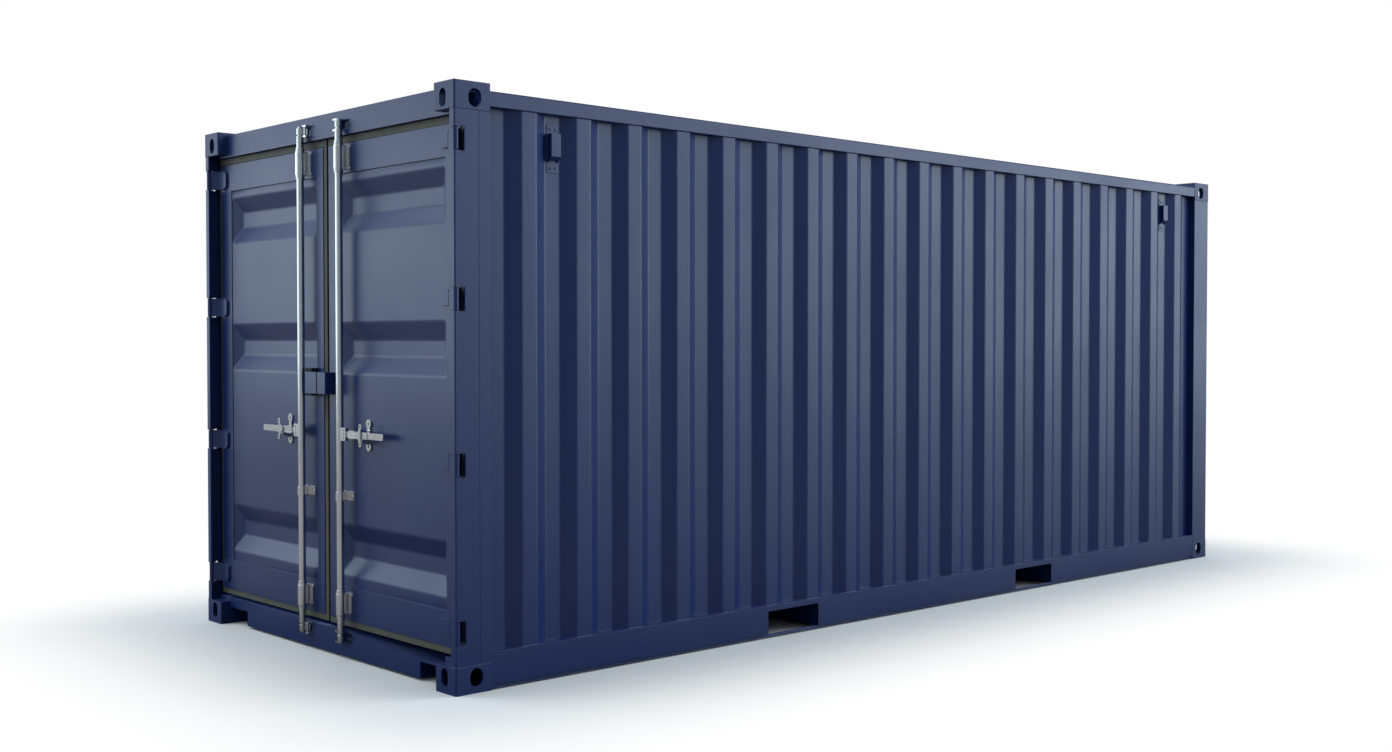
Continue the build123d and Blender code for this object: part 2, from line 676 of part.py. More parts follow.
# Ventilators in the first and last valleys of each side wall
def vent(x):
    back = -(SIDE - WALL_SET - WALL_DEPTH)
    centre = TOP_RAIL_BOTTOM - VENT_DROP
    half = VENT_WIDTH / 2
    box_half = VENT_BOX_WIDTH / 2
    plate = block(x - half, x + half, back - VENT_PLATE, back,
                  centre - VENT_HEIGHT / 2, centre + VENT_HEIGHT / 2)
    low = centre - VENT_BOX_HEIGHT / 2
    high = centre + VENT_BOX_HEIGHT / 2
    front = back - VENT_DEPTH
    slope = VENT_DEPTH - VENT_PLATE
    outer = [(back, low), (front, low + slope), (front, high), (back, high)]
    t = VENT_PLATE
    inner = [(back, low - t), (front + t, low + slope), (front + t, high - t), (back, high - t)]
    hood = along(outer, x - box_half, x + box_half)
    hood -= along(inner, x - box_half + t, x + box_half - t)
    return plate + hood


def side_vents():
    crest = WALL_CREST + 2 * WALL_SLOPE
    pitch = crest + WALL_VALLEY
    place = pitch * (repeats(2 * RAIL_END, crest, pitch) - 2) / 2
    right = [vent(-place), vent(place)]
    return group(right + [left_of(item) for item in right])


# Hinges: lugs and a pin inside each J-bar, a bent blade on the leaf
def hinge_pin(height):
    low, high = lug_places(height)
    pin = peg(PIN_DIAMETER / 2, PIN_X, -PIN_Y, low, high + LUG_THICKNESS)
    return pin + lug_block(low) + lug_block(high)


def hinge_blade(height):
    low = height - BLADE_HEIGHT / 2
    high = height + BLADE_HEIGHT / 2
    face = DOOR_FACE
    t = BLADE_THICKNESS
    heel = (face - t / 2, -BLADE_HEEL)
    run = (heel[0] - PIN_X, heel[1] + PIN_Y)
    size = hypot(*run)
    side = (-run[1] / size * t / 2, run[0] / size * t / 2)
    arm = [(PIN_X + side[0], -PIN_Y + side[1]), (heel[0] + side[0], heel[1] + side[1]),
           (heel[0] - side[0], heel[1] - side[1]), (PIN_X - side[0], -PIN_Y - side[1])]
    blade = standing(arm, low, high)
    blade += peg(t / 2, heel[0], heel[1], low, high)
    blade += peg(KNUCKLE_RADIUS, PIN_X, -PIN_Y, low, high)
    tip = -BLADE_HEEL + BLADE_LENGTH
    outline = [(-BLADE_HEEL, low), (tip - BLADE_CORNER, low), (tip, low + BLADE_CORNER_DROP),
               (tip, high - BLADE_CORNER_DROP), (tip - BLADE_CORNER, high), (-BLADE_HEEL, high)]
    blade += along(outline, face - t, face)
    blade -= peg(PIN_DIAMETER / 2 + PIN_CLEARANCE, PIN_X, -PIN_Y, low, high)
    return blade


# Door leaf: a tube frame, a pressed sheet and a rubber gasket around it
def leaf_frame(centre):
    bottom = LEAF_BOTTOM
    top = LEAF_TOP
    t = LEAF_TUBE
    inside_low = bottom + LEAF_BOTTOM_RAIL
    inside_high = top - LEAF_TOP_RAIL
    hinge_side = LEAF_EDGE - HINGE_STILE
    frame = block(DOOR_FACE, DOOR_BACK, -LEAF_EDGE, -centre, bottom, top)
    frame -= block(DOOR_FACE, DOOR_BACK, -hinge_side, -CENTRE_STILE_EDGE,
                   inside_low, inside_high)
    front = DOOR_FACE + t
    back = DOOR_BACK - t
    frame -= block(front, back, -LEAF_EDGE + t, -hinge_side - t, bottom, top)
    frame -= block(front, back, -CENTRE_STILE_EDGE + t, -centre - t, bottom, top)
    frame -= block(front, back, -LEAF_EDGE + t, -centre - t, bottom + t, inside_low - t)
    frame -= block(front, back, -LEAF_EDGE + t, -centre - t, inside_high + t, top - t)
    return frame


def leaf_panel():
    low = LEAF_BOTTOM + LEAF_BOTTOM_RAIL
    high = LEAF_TOP - LEAF_TOP_RAIL
    outer = LEAF_EDGE - HINGE_STILE
    sheet = block(PANEL_FACE, PANEL_FACE + PANEL_SHEET, -outer, -CENTRE_STILE_EDGE, low, high)
    width = outer - CENTRE_STILE_EDGE - 2 * PANEL_TROUGH_MARGIN
    middle = -(outer + CENTRE_STILE_EDGE) / 2
    trough = frustum(width, PANEL_TROUGH_HEIGHT, PANEL_TROUGH_END, PANEL_TROUGH_SLOPE,
                     PANEL_TROUGH_DEPTH)
    trough = Plane((0, 0, 0), x_dir=(0, -1, 0), z_dir=(-1, 0, 0)) * trough
    for height in TROUGH_HEIGHTS:
        sheet += Pos(PANEL_FACE + PANEL_SHEET, middle, height) * trough
    for height in TROUGH_HEIGHTS:
        sheet -= Pos(PANEL_FACE, middle, height) * trough
    return sheet


def leaf_gasket(centre, centre_reach):
    low = LEAF_BOTTOM
    high = LEAF_TOP
    front = DOOR_FACE + GASKET_SET
    back = DOOR_BACK - GASKET_SET

    def ring(x0, x1, reach, inner_reach):
        return block(x0, x1, -LEAF_EDGE - reach, -centre + inner_reach,
                     low - reach, high + reach)

    base = min(GASKET_BASE, centre_reach)
    gasket = ring(front, back, GASKET_BASE, base)
    gasket += ring(front, front + GASKET_LIP, GASKET_REACH, centre_reach)
    gasket += ring(back - GASKET_LIP, back, GASKET_REACH, centre_reach)
    return gasket - block(front, back, -LEAF_EDGE, -centre, low, high)


def hinge_blades():
    return group([hinge_blade(height) for height in HINGE_HEIGHTS])


# Lock rod: a bar with a necked cam at each end, thrust rings, and the handle's hub
def cam_finger(height):
    """A finger that starts at the neck and hooks behind the keeper's pin."""
    half = CAM_THICKNESS / 2
    t = CAM_FINGER
    pin_back = KEEPER_PIN_SET + KEEPER_PIN_RADIUS + KEEPER_CLEARANCE
    tip = KEEPER_PIN_PLACE + KEEPER_PIN_RADIUS - CAM_TIP_SET
    finger = [(0, CAM_ROOT), (pin_back, pin_back + CAM_SHOULDER), (pin_back, tip),
              (pin_back + t, tip), (pin_back + t, pin_back - CAM_HEEL), (CAM_ROOT, 0), (0, 0)]
    outline = [(ROD_X + x, -ROD_PLACE + y) for x, y in finger]
    return standing(outline, height - half, height + half)


def handle_hub():
    """The welded block beside the rod, its dimples, and the tongue that carries the handle."""
    front = ROD_X - HUB_DEPTH / 2
    back = ROD_X + HUB_DEPTH / 2
    low = HANDLE_HEIGHT - HUB_HEIGHT / 2
    high = HANDLE_HEIGHT + HUB_HEIGHT / 2
    hub = block(front, back, -ROD_PLACE - HUB_LENGTH, -ROD_PLACE, low, high)
    outer = hub.edges().filter_by(Axis.X).sort_by(Axis.Y)[:2]
    hub = fillet(outer, HUB_CORNER)
    for step in (-1, 0, 1):
        hub -= rivet(HUB_DIMPLE_RADIUS, front, front + HUB_DIMPLE_DEPTH,
                     -ROD_PLACE - HUB_DIMPLE_PLACE, HANDLE_HEIGHT + step * HUB_DIMPLE_PITCH)
    tongue_front = HANDLE_X - TONGUE_THICKNESS / 2
    tongue_back = HANDLE_X + TONGUE_THICKNESS / 2
    hub += block(tongue_front, tongue_back, -ROD_PLACE - HUB_PIN_PLACE, -ROD_PLACE - HUB_LENGTH,
                 HANDLE_HEIGHT - TONGUE_HALF_HEIGHT, HANDLE_HEIGHT + TONGUE_HALF_HEIGHT)
    hub += rivet(TONGUE_HALF_HEIGHT, tongue_front, tongue_back, -ROD_PLACE - HUB_PIN_PLACE,
                 HANDLE_HEIGHT)
    return hub + rivet(HUB_PIN_DIAMETER / 2, HANDLE_X - HANDLE_HALF, HANDLE_X + HANDLE_HALF,
                       -ROD_PLACE - HUB_PIN_PLACE, HANDLE_HEIGHT)


def lock_rod():
    rod = peg(NECK_RADIUS, ROD_X, -ROD_PLACE, ROD_BOTTOM, ROD_TOP)
    rod += peg(ROD_DIAMETER / 2, ROD_X, -ROD_PLACE, ROD_BOTTOM + NECK_LENGTH,
               ROD_TOP - NECK_LENGTH)
    for centre, length in ((TOP_BRACKET, TOP_BRACKET_LENGTH), (LOW_BRACKET, LOW_BRACKET_LENGTH)):
        reach = length / 2 + THRUST_GAP
        for bottom in (centre - reach - THRUST_RING, centre + reach):
            rod += peg(THRUST_RING_RADIUS, ROD_X, -ROD_PLACE, bottom, bottom + THRUST_RING)
    rod += handle_hub()
    half = CAM_THICKNESS / 2
    for height in CAM_HEIGHTS:
        rod += peg(CAM_COLLAR_RADIUS, ROD_X, -ROD_PLACE, height - half, height + half)
        rod += cam_finger(height)
    return rod


def keeper(height):
    gap = CAM_THICKNESS / 2 + KEEPER_GAP
    x = ROD_X + KEEPER_PIN_SET
    y = -ROD_PLACE + KEEPER_PIN_PLACE
    near = -ROD_PLACE + CAM_COLLAR_RADIUS + KEEPER_CLEARANCE
    solid = peg(KEEPER_PIN_RADIUS, x, y, height - gap - KEEPER_PLATE, height + gap + KEEPER_PLATE)
    for bottom in (height - gap - KEEPER_PLATE, height + gap):
        solid += block(ROD_X, END_FACE, near, near + KEEPER_WIDTH, bottom,
                       bottom + KEEPER_PLATE)
    return solid


def cam_keepers():
    right = [keeper(height) for height in CAM_HEIGHTS]
    return group(right + [left_of(item) for item in right])


def bracket_base(back, half, low, high):
    """A plate on the leaf with rounded corners and a raised rim along each upright edge."""
    base = block(back - BRACKET_BASE, back, -ROD_PLACE - half, -ROD_PLACE + half, low, high)
    base = fillet(base.edges().filter_by(Axis.X), BRACKET_BASE_CORNER)
    front = back - BRACKET_BASE
    for edge in (-half, half - BRACKET_RIM_WIDTH):
        base += block(front - BRACKET_RIM_DEPTH, front, -ROD_PLACE + edge,
                      -ROD_PLACE + edge + BRACKET_RIM_WIDTH,
                      low + BRACKET_BASE_CORNER, high - BRACKET_BASE_CORNER)
    return base


def rod_bracket(centre, length):
    """A long sleeve with a smaller ring at each end, on a neck and a rimmed base."""
    low = centre - length / 2
    high = centre + length / 2
    bracket = peg(BRACKET_END_RING, ROD_X, -ROD_PLACE, low, high)
    bracket += peg(BRACKET_RING, ROD_X, -ROD_PLACE, low + BRACKET_END, high - BRACKET_END)
    bracket += block(ROD_X, DOOR_FACE, -ROD_PLACE - BRACKET_NECK_HALF,
                     -ROD_PLACE + BRACKET_NECK_HALF, low + BRACKET_END, high - BRACKET_END)
    bracket += bracket_base(DOOR_FACE, BRACKET_BASE_HALF, low + BRACKET_END, high - BRACKET_END)
    return bracket - peg(ROD_DIAMETER / 2 + ROD_CLEARANCE, ROD_X, -ROD_PLACE, low, high)


def rod_guide():
    """A short strap round the middle of the rod, on a wider base on the panel."""
    low = GUIDE_HEIGHT - GUIDE_LENGTH / 2
    high = GUIDE_HEIGHT + GUIDE_LENGTH / 2
    guide = peg(BRACKET_END_RING, ROD_X, -ROD_PLACE, low, high)
    guide += block(ROD_X, PANEL_FACE, -ROD_PLACE - BRACKET_NECK_HALF,
                   -ROD_PLACE + BRACKET_NECK_HALF, low, high)
    guide += block(PANEL_FACE - BRACKET_BASE, PANEL_FACE, -ROD_PLACE - GUIDE_BASE_HALF,
                   -ROD_PLACE + GUIDE_BASE_HALF, low, high)
    return guide - peg(ROD_DIAMETER / 2 + ROD_CLEARANCE, ROD_X, -ROD_PLACE, low, high)


def rod_brackets():
    return group([rod_bracket(TOP_BRACKET, TOP_BRACKET_LENGTH), rod_guide(),
                  rod_bracket(LOW_BRACKET, LOW_BRACKET_LENGTH)])


# Handle, seal catch and retainer
def front_shape(face, x0, x1):
    """A face drawn in (y, z) at x = 0, thickened from x0 to x1."""
    return Pos(x0, 0, 0) * extrude(Plane.YZ * face, x1 - x0, dir=(1, 0, 0))


def handle():
    y = -ROD_PLACE
    z = HANDLE_HEIGHT
    front = HANDLE_X - HANDLE_HALF
    back = HANDLE_X + HANDLE_HALF
    root = HANDLE_ROOT_HEIGHT / 2
    bar = HANDLE_BAR / 2
    shank = [(y - HANDLE_ROOT, z - root), (y - HANDLE_FORK_END, z - root),
             (y - HANDLE_TAPER_END, z - bar), (y - HANDLE_GRIP_START, z - bar),
             (y - HANDLE_GRIP_START, z + bar), (y - HANDLE_TAPER_END, z + bar),
             (y - HANDLE_FORK_END, z + root), (y - HANDLE_ROOT, z + root)]
    arm = along(shank, front, back)
    middle = (HANDLE_GRIP_START + HANDLE_REACH) / 2
    grip = Pos(y - middle, z) * Rectangle(HANDLE_REACH - HANDLE_GRIP_START, HANDLE_GRIP_HEIGHT)
    grip = fillet(grip.vertices().sort_by(Axis.X)[:2], HANDLE_GRIP_CORNER)
    arm += front_shape(grip, HANDLE_X - HANDLE_GRIP / 2, HANDLE_X + HANDLE_GRIP / 2)
    fork = TONGUE_THICKNESS / 2 + CHEEK_CLEARANCE
    arm -= block(HANDLE_X - fork, HANDLE_X + fork, y - HANDLE_FORK_END, y - HANDLE_ROOT,
                 z - root, z + root)
    for sign in (-1, 1):
        groove = z + sign * HANDLE_GROOVE_PLACE
        arm -= block(front, front + HANDLE_GROOVE_DEPTH, y - HANDLE_GROOVE_END, y - HANDLE_ROOT,
                     groove - HANDLE_GROOVE / 2, groove + HANDLE_GROOVE / 2)
    for place, diameter in ((HUB_PIN_PLACE, HUB_PIN_DIAMETER), (CATCH_PLACE, CATCH_RIVET_DIAMETER)):
        arm -= rivet(diameter / 2 + HUB_PIN_CLEARANCE, front, back, y - place, z)
    return arm


def seal_catch():
    y = -ROD_PLACE - CATCH_PLACE
    z = HANDLE_HEIGHT
    half = CATCH_ARM_WIDTH / 2
    face = Pos(y, z) * Circle(CATCH_BOSS_RADIUS)
    for sign in (-1, 1):
        tip = (y - CATCH_ARM_LEAN, z + sign * CATCH_ARM)
        arm = [(y - half, z), (tip[0] - half, tip[1]), (tip[0] + half, tip[1]), (y + half, z)]
        face += make_face(Polyline(*arm, close=True))
        face += Pos(*tip) * Circle(CATCH_LOBE_RADIUS)
    for sign in (-1, 1):
        face -= Pos(y - CATCH_ARM_LEAN, z + sign * CATCH_ARM) * Circle(CATCH_SEAL_HOLE / 2)
    plate = front_shape(face, CATCH_X - CATCH_THICKNESS, CATCH_X)
    plate += rivet(CATCH_SHOULDER_RADIUS, CATCH_X, CATCH_X + CATCH_GAP - SEAT_GAP, y, z)
    return plate + rivet(CATCH_RIVET_DIAMETER / 2, CATCH_X, HANDLE_X + HANDLE_HALF, y, z)


def handle_retainer():
    """A two-lobed plate on the panel, with a sloping ledge under the handle."""
    y = -ROD_PLACE - CATCH_PLACE
    z = HANDLE_HEIGHT
    face = Pos(y, z) * Rectangle(RETAINER_WAIST, 2 * RETAINER_LOBE_PLACE)
    for sign in (-1, 1):
        face += Pos(y, z + sign * RETAINER_LOBE_PLACE) * Circle(RETAINER_LOBE_RADIUS)
    for sign in (-1, 1):
        face -= Pos(y, z + sign * RETAINER_LOBE_PLACE) * Circle(RETAINER_HOLE / 2)
    plate = front_shape(face, PANEL_FACE - RETAINER_PLATE, PANEL_FACE)
    seat = z - HANDLE_BAR / 2 - SEAT_GAP
    half = RETAINER_LEDGE_WIDTH / 2
    front = HANDLE_X - HANDLE_HALF + RETAINER_LEDGE_SET
    slope = [(PANEL_FACE, seat), (front, seat), (front, seat - RETAINER_LEDGE),
             (PANEL_FACE, seat - RETAINER_LEDGE_ROOT)]
    return plate + across(slope, y - half, y + half)


def lock_box(edge):
    front = DOOR_END + BOX_SET
    low = BOX_CENTRE - BOX_HEIGHT / 2
    high = BOX_CENTRE + BOX_HEIGHT / 2
    t = BOX_PLATE
    box = block(front, DOOR_FACE, -edge, -BOX_SEAM, low, high)
    return box - block(front + t, DOOR_FACE, -edge + t, -BOX_SEAM, low, high - t)


os.makedirs("parts", exist_ok=True)

save("top_corner_castings", corner_castings(CASTING_PLACES, True))
save("bottom_corner_castings", corner_castings(CASTING_PLACES[1:], False))
save("right_door_bottom_casting", corner_casting(*CASTING_PLACES[0], False))
save("front_corner_posts", group([front_post(), left_of(front_post())]))
save("inner_door_posts", group([inner_door_post(), left_of(inner_door_post())]))
save("door_header", door_header())
save("door_sill", group([door_sill(), threshold()]))
save("front_top_rail", front_top_rail())
save("front_bottom_rail", front_bottom_rail())
save("fork_pockets", group([fork_pocket(centre) for centre in pocket_centres()]))
save("cross_members", group([cross_member(x) for x in cross_member_places()]))
save("floor_boards", floor_boards())
save("front_wall", front_wall())
save("roof", roof())
save("side_vents", side_vents())
save("cam_keepers", cam_keepers())
pins = [hinge_pin(height) for height in HINGE_HEIGHTS]
save("hinge_pins", group(pins + [left_of(pin) for pin in pins]))

SIDES = (
    ("right", RIGHT_LEAF_CENTRE, RIGHT_GASKET_REACH, RIGHT_BOX_EDGE),
    ("left", LEFT_LEAF_CENTRE, GASKET_REACH, LEFT_BOX_EDGE),
)
for side, centre, centre_reach, box_edge in SIDES:
    pieces = {
        "door_post_bar": door_post_bar(),
        "top_rail": top_side_rail(),
        "bottom_rail": bottom_side_rail(),
        "side_wall": side_wall(),
        "door_frame": leaf_frame(centre),
        "door_panel": leaf_panel(),
        "door_gasket": leaf_gasket(centre, centre_reach),
        "hinge_blades": hinge_blades(),
        "lock_rod": lock_rod(),
        "rod_brackets": rod_brackets(),
        "handle": handle(),
        "seal_catch": seal_catch(),
        "handle_retainer": handle_retainer(),
        "lock_box": lock_box(box_edge),
    }
    for name, shape in pieces.items():
        placed = left_of(shape) if side == "left" else shape
        save(f"{side}_{name}", placed)
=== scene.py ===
# %% [markdown]
# # A twenty-foot steel container
#
# A freight container is a welded box: cast corners, rolled posts, square rails and thin sheets
# that are pressed into folds to make them stiff. The model that arrives here has all of that at
# its real size. This lesson gives it what a welder, a painter and a galvaniser would add.

# %% Load the frame
import json
import random
from math import atan2, cos, pi, radians, sin, tan, tau

import bmesh
import bpy
from mathutils import Matrix, Vector

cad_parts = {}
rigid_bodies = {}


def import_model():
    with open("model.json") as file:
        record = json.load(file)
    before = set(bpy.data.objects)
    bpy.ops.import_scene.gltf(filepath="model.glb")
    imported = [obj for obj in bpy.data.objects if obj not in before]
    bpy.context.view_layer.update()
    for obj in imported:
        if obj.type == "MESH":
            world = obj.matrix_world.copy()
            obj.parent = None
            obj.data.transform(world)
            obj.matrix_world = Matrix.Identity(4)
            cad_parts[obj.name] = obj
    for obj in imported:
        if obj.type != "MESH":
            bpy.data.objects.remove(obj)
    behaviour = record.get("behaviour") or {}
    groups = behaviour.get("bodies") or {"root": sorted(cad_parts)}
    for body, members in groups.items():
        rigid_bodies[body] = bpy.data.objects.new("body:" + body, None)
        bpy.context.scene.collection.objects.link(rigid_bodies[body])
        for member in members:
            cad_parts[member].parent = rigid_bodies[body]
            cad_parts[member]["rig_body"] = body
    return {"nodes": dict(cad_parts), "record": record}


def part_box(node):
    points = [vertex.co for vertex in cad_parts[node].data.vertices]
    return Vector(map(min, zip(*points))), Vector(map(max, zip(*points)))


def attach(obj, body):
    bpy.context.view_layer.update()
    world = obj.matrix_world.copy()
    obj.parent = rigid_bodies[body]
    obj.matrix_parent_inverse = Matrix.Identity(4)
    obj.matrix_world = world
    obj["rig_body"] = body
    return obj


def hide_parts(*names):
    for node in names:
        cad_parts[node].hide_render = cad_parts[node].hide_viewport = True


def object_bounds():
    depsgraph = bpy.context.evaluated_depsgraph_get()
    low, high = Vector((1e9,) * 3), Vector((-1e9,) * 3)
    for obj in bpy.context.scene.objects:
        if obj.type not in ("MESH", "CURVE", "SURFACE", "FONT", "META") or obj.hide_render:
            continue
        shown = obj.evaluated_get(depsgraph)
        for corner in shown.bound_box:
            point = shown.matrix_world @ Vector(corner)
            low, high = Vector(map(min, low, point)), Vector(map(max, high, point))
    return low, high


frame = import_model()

MM = 0.001
scene = bpy.context.scene
cad_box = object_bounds()
nodes = frame["nodes"]
slot_of = {part["node"]: part["material_slot"] for part in frame["record"]["subparts"]}

# %% [markdown]
# ## One way to write colours and nodes
#
# Colours are picked from swatches, so they are written as sRGB hex and turned to the linear
# values that the shader works with. Every node is added by one small function, which sets its
# options and plugs in its inputs, so each material below reads like a recipe.

# %% Colour and node helpers
def colour(code):
    """Linear RGBA of an sRGB hex colour."""
    parts = [int(code[i:i + 2], 16) / 255 for i in (1, 3, 5)]
    linear = [p / 12.92 if p <= 0.04045 else ((p + 0.055) / 1.055) ** 2.4 for p in parts]
    return (*linear, 1.0)


def add(tree, kind, inputs=None, **settings):
    """A new node, with its options set and its inputs given a value or a link."""
    node = tree.nodes.new("ShaderNode" + kind)
    for name, value in settings.items():
        setattr(node, name, value)
    for name, value in (inputs or {}).items():
        if isinstance(value, bpy.types.NodeSocket):
            tree.links.new(value, node.inputs[name])
        else:
            node.inputs[name].default_value = value
    return node


def new_material(name):
    """An empty material and its node tree."""
    material = bpy.data.materials.new(name)
    material.use_nodes = True
    material.node_tree.nodes.clear()
    return material, material.node_tree


print("navy swatch in linear light:", [round(c, 4) for c in colour("#162d66")[:3]])

# %% [markdown]
# ## Marine paint
#
# The container is grit-blasted, zinc-primed and sprayed with a two-pack marine paint in dark
# blue. Sprayed paint is semi-gloss: it mirrors the sky as a soft pale sheen, and its surface has
# a fine orange peel. The blue is painted a little lighter towards the top: partly the chalking of
# paint that stands in the sun, partly painted light for the brighter top. Thin sheet also bulges
# by a fraction of a millimetre between its welds, which bends the reflections. The real peel is
# under 2 mm across and would not show from five metres, so it is drawn at 6 mm.

# %% Paint
# PAINT_LOW to PAINT_HIGH is a ramp with height: partly chalk, partly painted light for the brighter
# top
PAINT_LOW = colour("#122961")
PAINT_HIGH = colour("#162d66")
PAINT_DULL = colour("#1b3264")
PEEL = 6 * MM
BULGE = 350 * MM
CHALK_PATCH = 900 * MM
PATCH_FROM, PATCH_TO = 0.45, 0.75
PATCH_MOST = 0.5
GLOSS_FROM, GLOSS_TO = 0.3, 0.7
GLOSS_DOWN, GLOSS_UP = 0.04, 0.05
CONTAINER_TOP = cad_box[1][2]


def painted(name, peel_depth, bulge_depth, roughness):
    """Sprayed paint: lighter with height (partly chalk, partly painted light), patchy by a hair,
    with orange peel and sheet bulge.
    """
    material, tree = new_material(name)
    place = add(tree, "TexCoord").outputs["Object"]
    height = add(tree, "SeparateXYZ", {"Vector": place}).outputs["Z"]
    # The ramp lightens the blue towards the top: partly chalk, partly painted light
    chalk_and_top_light = add(tree, "MapRange", {"Value": height, "From Max": CONTAINER_TOP},
                interpolation_type="SMOOTHSTEP").outputs["Result"]
    clean = add(tree, "Mix", {"Factor": chalk_and_top_light, "A": PAINT_LOW, "B": PAINT_HIGH},
                data_type="RGBA").outputs["Result"]
    patches = add(tree, "TexNoise", {"Vector": place, "Scale": 1 / CHALK_PATCH, "Detail": 5.0,
                                     "Roughness": 0.6}).outputs["Fac"]
    dull = add(tree, "MapRange", {"Value": patches, "From Min": PATCH_FROM, "From Max": PATCH_TO,
                                  "To Max": PATCH_MOST}).outputs["Result"]
    tinted = add(tree, "Mix", {"Factor": dull, "A": clean, "B": PAINT_DULL},
                 data_type="RGBA").outputs["Result"]
    gloss = add(tree, "MapRange", {"Value": patches, "From Min": GLOSS_FROM, "From Max": GLOSS_TO,
                                   "To Min": roughness - GLOSS_DOWN,
                                   "To Max": roughness + GLOSS_UP}).outputs["Result"]
    bulge = add(tree, "TexNoise", {"Vector": place, "Scale": 1 / BULGE, "Detail": 1.0})
    wave = add(tree, "Bump", {"Height": bulge.outputs["Fac"], "Distance": bulge_depth,
                              "Strength": 1.0})
    peel = add(tree, "TexNoise", {"Vector": place, "Scale": 1 / PEEL, "Detail": 1.0})
    skin = add(tree, "Bump", {"Height": peel.outputs["Fac"], "Distance": peel_depth,
                              "Strength": 1.0, "Normal": wave.outputs["Normal"]})
    shader = add(tree, "BsdfPrincipled", {"Base Color": tinted, "Roughness": gloss, "IOR": 1.5,
                                          "Normal": skin.outputs["Normal"]})
    add(tree, "OutputMaterial", {"Surface": shader.outputs["BSDF"]})
    return material


paint_on_steel = painted("semi_gloss_marine_paint_on_rolled_steel",
                         peel_depth=0.05 * MM, bulge_depth=2.0 * MM, roughness=0.36)
paint_on_casting = painted("semi_gloss_marine_paint_on_cast_steel",
                           peel_depth=0.25 * MM, bulge_depth=0.0, roughness=0.42)
print("paints:", paint_on_steel.name, "and", paint_on_casting.name)

# %% [markdown]
# ## Galvanised and plated lock gear
#
# The lock rods, their brackets and the keepers are hot-dip galvanised. The zinc freezes in
# crystals, the spangle, about 8 mm across, and runs a little thicker in places as it drains off,
# which bends the reflections. The handles, catches and retainers are electroplated with bright
# zinc, which is smoother and lighter. Both are metals, so the colour is in the reflection and
# the IOR stays at its default.

# %% Zinc
SPANGLE = 8 * MM
CLOUD = 12 * SPANGLE
RUNS = 45 * MM
RUN_DEPTH = 0.15 * MM
CRYSTAL_CHANGE = 0.02


def zinc(name, light, dark, roughness, contrast):
    """A zinc coat: crystals of slightly different brightness and roughness."""
    material, tree = new_material(name)
    place = add(tree, "TexCoord").outputs["Object"]
    crystal = add(tree, "TexVoronoi", {"Vector": place, "Scale": 1 / SPANGLE})
    grain = add(tree, "SeparateColor", {"Color": crystal.outputs["Color"]}).outputs["Red"]
    cloud = add(tree, "TexNoise", {"Vector": place, "Scale": 1 / CLOUD, "Detail": 4.0})
    shade = add(tree, "Mix", {"Factor": contrast, "A": cloud.outputs["Fac"], "B": grain},
                data_type="FLOAT")
    tone = add(tree, "Mix", {"Factor": shade.outputs["Result"], "A": dark, "B": light},
               data_type="RGBA")
    rough = add(tree, "MapRange", {"Value": grain, "To Min": roughness - CRYSTAL_CHANGE,
                                   "To Max": roughness + CRYSTAL_CHANGE})
    runs = add(tree, "TexNoise", {"Vector": place, "Scale": 1 / RUNS, "Detail": 1.0})
    relief = add(tree, "Bump", {"Height": runs.outputs["Fac"], "Distance": RUN_DEPTH,
                                "Strength": 1.0})
    shader = add(tree, "BsdfPrincipled", {"Base Color": tone.outputs["Result"], "Metallic": 1.0,
                                          "Roughness": rough.outputs["Result"],
                                          "Normal": relief.outputs["Normal"]})
    add(tree, "OutputMaterial", {"Surface": shader.outputs["BSDF"]})
    return material


galvanised = zinc("hot_dip_galvanised_steel", colour("#e2e1e3"), colour("#c6c6c9"),
                  roughness=0.2, contrast=0.2)
bright_zinc = zinc("bright_zinc_plated_steel", colour("#e5e5e6"), colour("#cccdd0"),
                   roughness=0.16, contrast=0.15)
print("metals:", galvanised.name, "and", bright_zinc.name)

# %% [markdown]
# ## Rubber and plywood
#
# The door gaskets are extruded rubber, olive-grey from chalk and road dust, with no gloss to
# speak of. The thin dark lines at the door panels and the strips at the lock box are black
# rubber, put where shade falls: painted shade. The floor is 19-ply hardwood plywood, sealed with
# a brown oil stain: the grain runs along the container, a few millimetres wide and very long.

# %% Rubber
RUBBER_DUST = 60 * MM


def rubber(name, low, high, roughness):
    """Rubber between two tones, with dust in soft clouds."""
    material, tree = new_material(name)
    place = add(tree, "TexCoord").outputs["Object"]
    dust = add(tree, "TexNoise", {"Vector": place, "Scale": 1 / RUBBER_DUST, "Detail": 6.0})
    tone = add(tree, "Mix", {"Factor": dust.outputs["Fac"], "A": low, "B": high},
               data_type="RGBA")
    shader = add(tree, "BsdfPrincipled", {"Base Color": tone.outputs["Result"],
                                          "Roughness": roughness, "IOR": 1.52})
    add(tree, "OutputMaterial", {"Surface": shader.outputs["BSDF"]})
    return material


gasket_rubber = rubber("extruded_epdm_rubber", colour("#43443c"), colour("#606154"),
                       roughness=0.7)
# Black rubber for the lines and strips that stand in for shade: painted shade
shade_black_rubber = rubber("black_rubber_painted_shade", colour("#0c0d0e"), colour("#151617"),
                      roughness=0.75)
print("rubbers:", gasket_rubber.name, "and", shade_black_rubber.name)

# %% Plywood
GRAIN_WIDTH = 5 * MM
GRAIN_STRETCH = 0.02
GRAIN_DEPTH = 0.2 * MM
FIGURE = 12 * GRAIN_WIDTH
STAIN_LIGHT = colour("#7d5535")
STAIN_DARK = colour("#4a2d1b")
STAIN_FROM, STAIN_TO = 0.35, 0.65


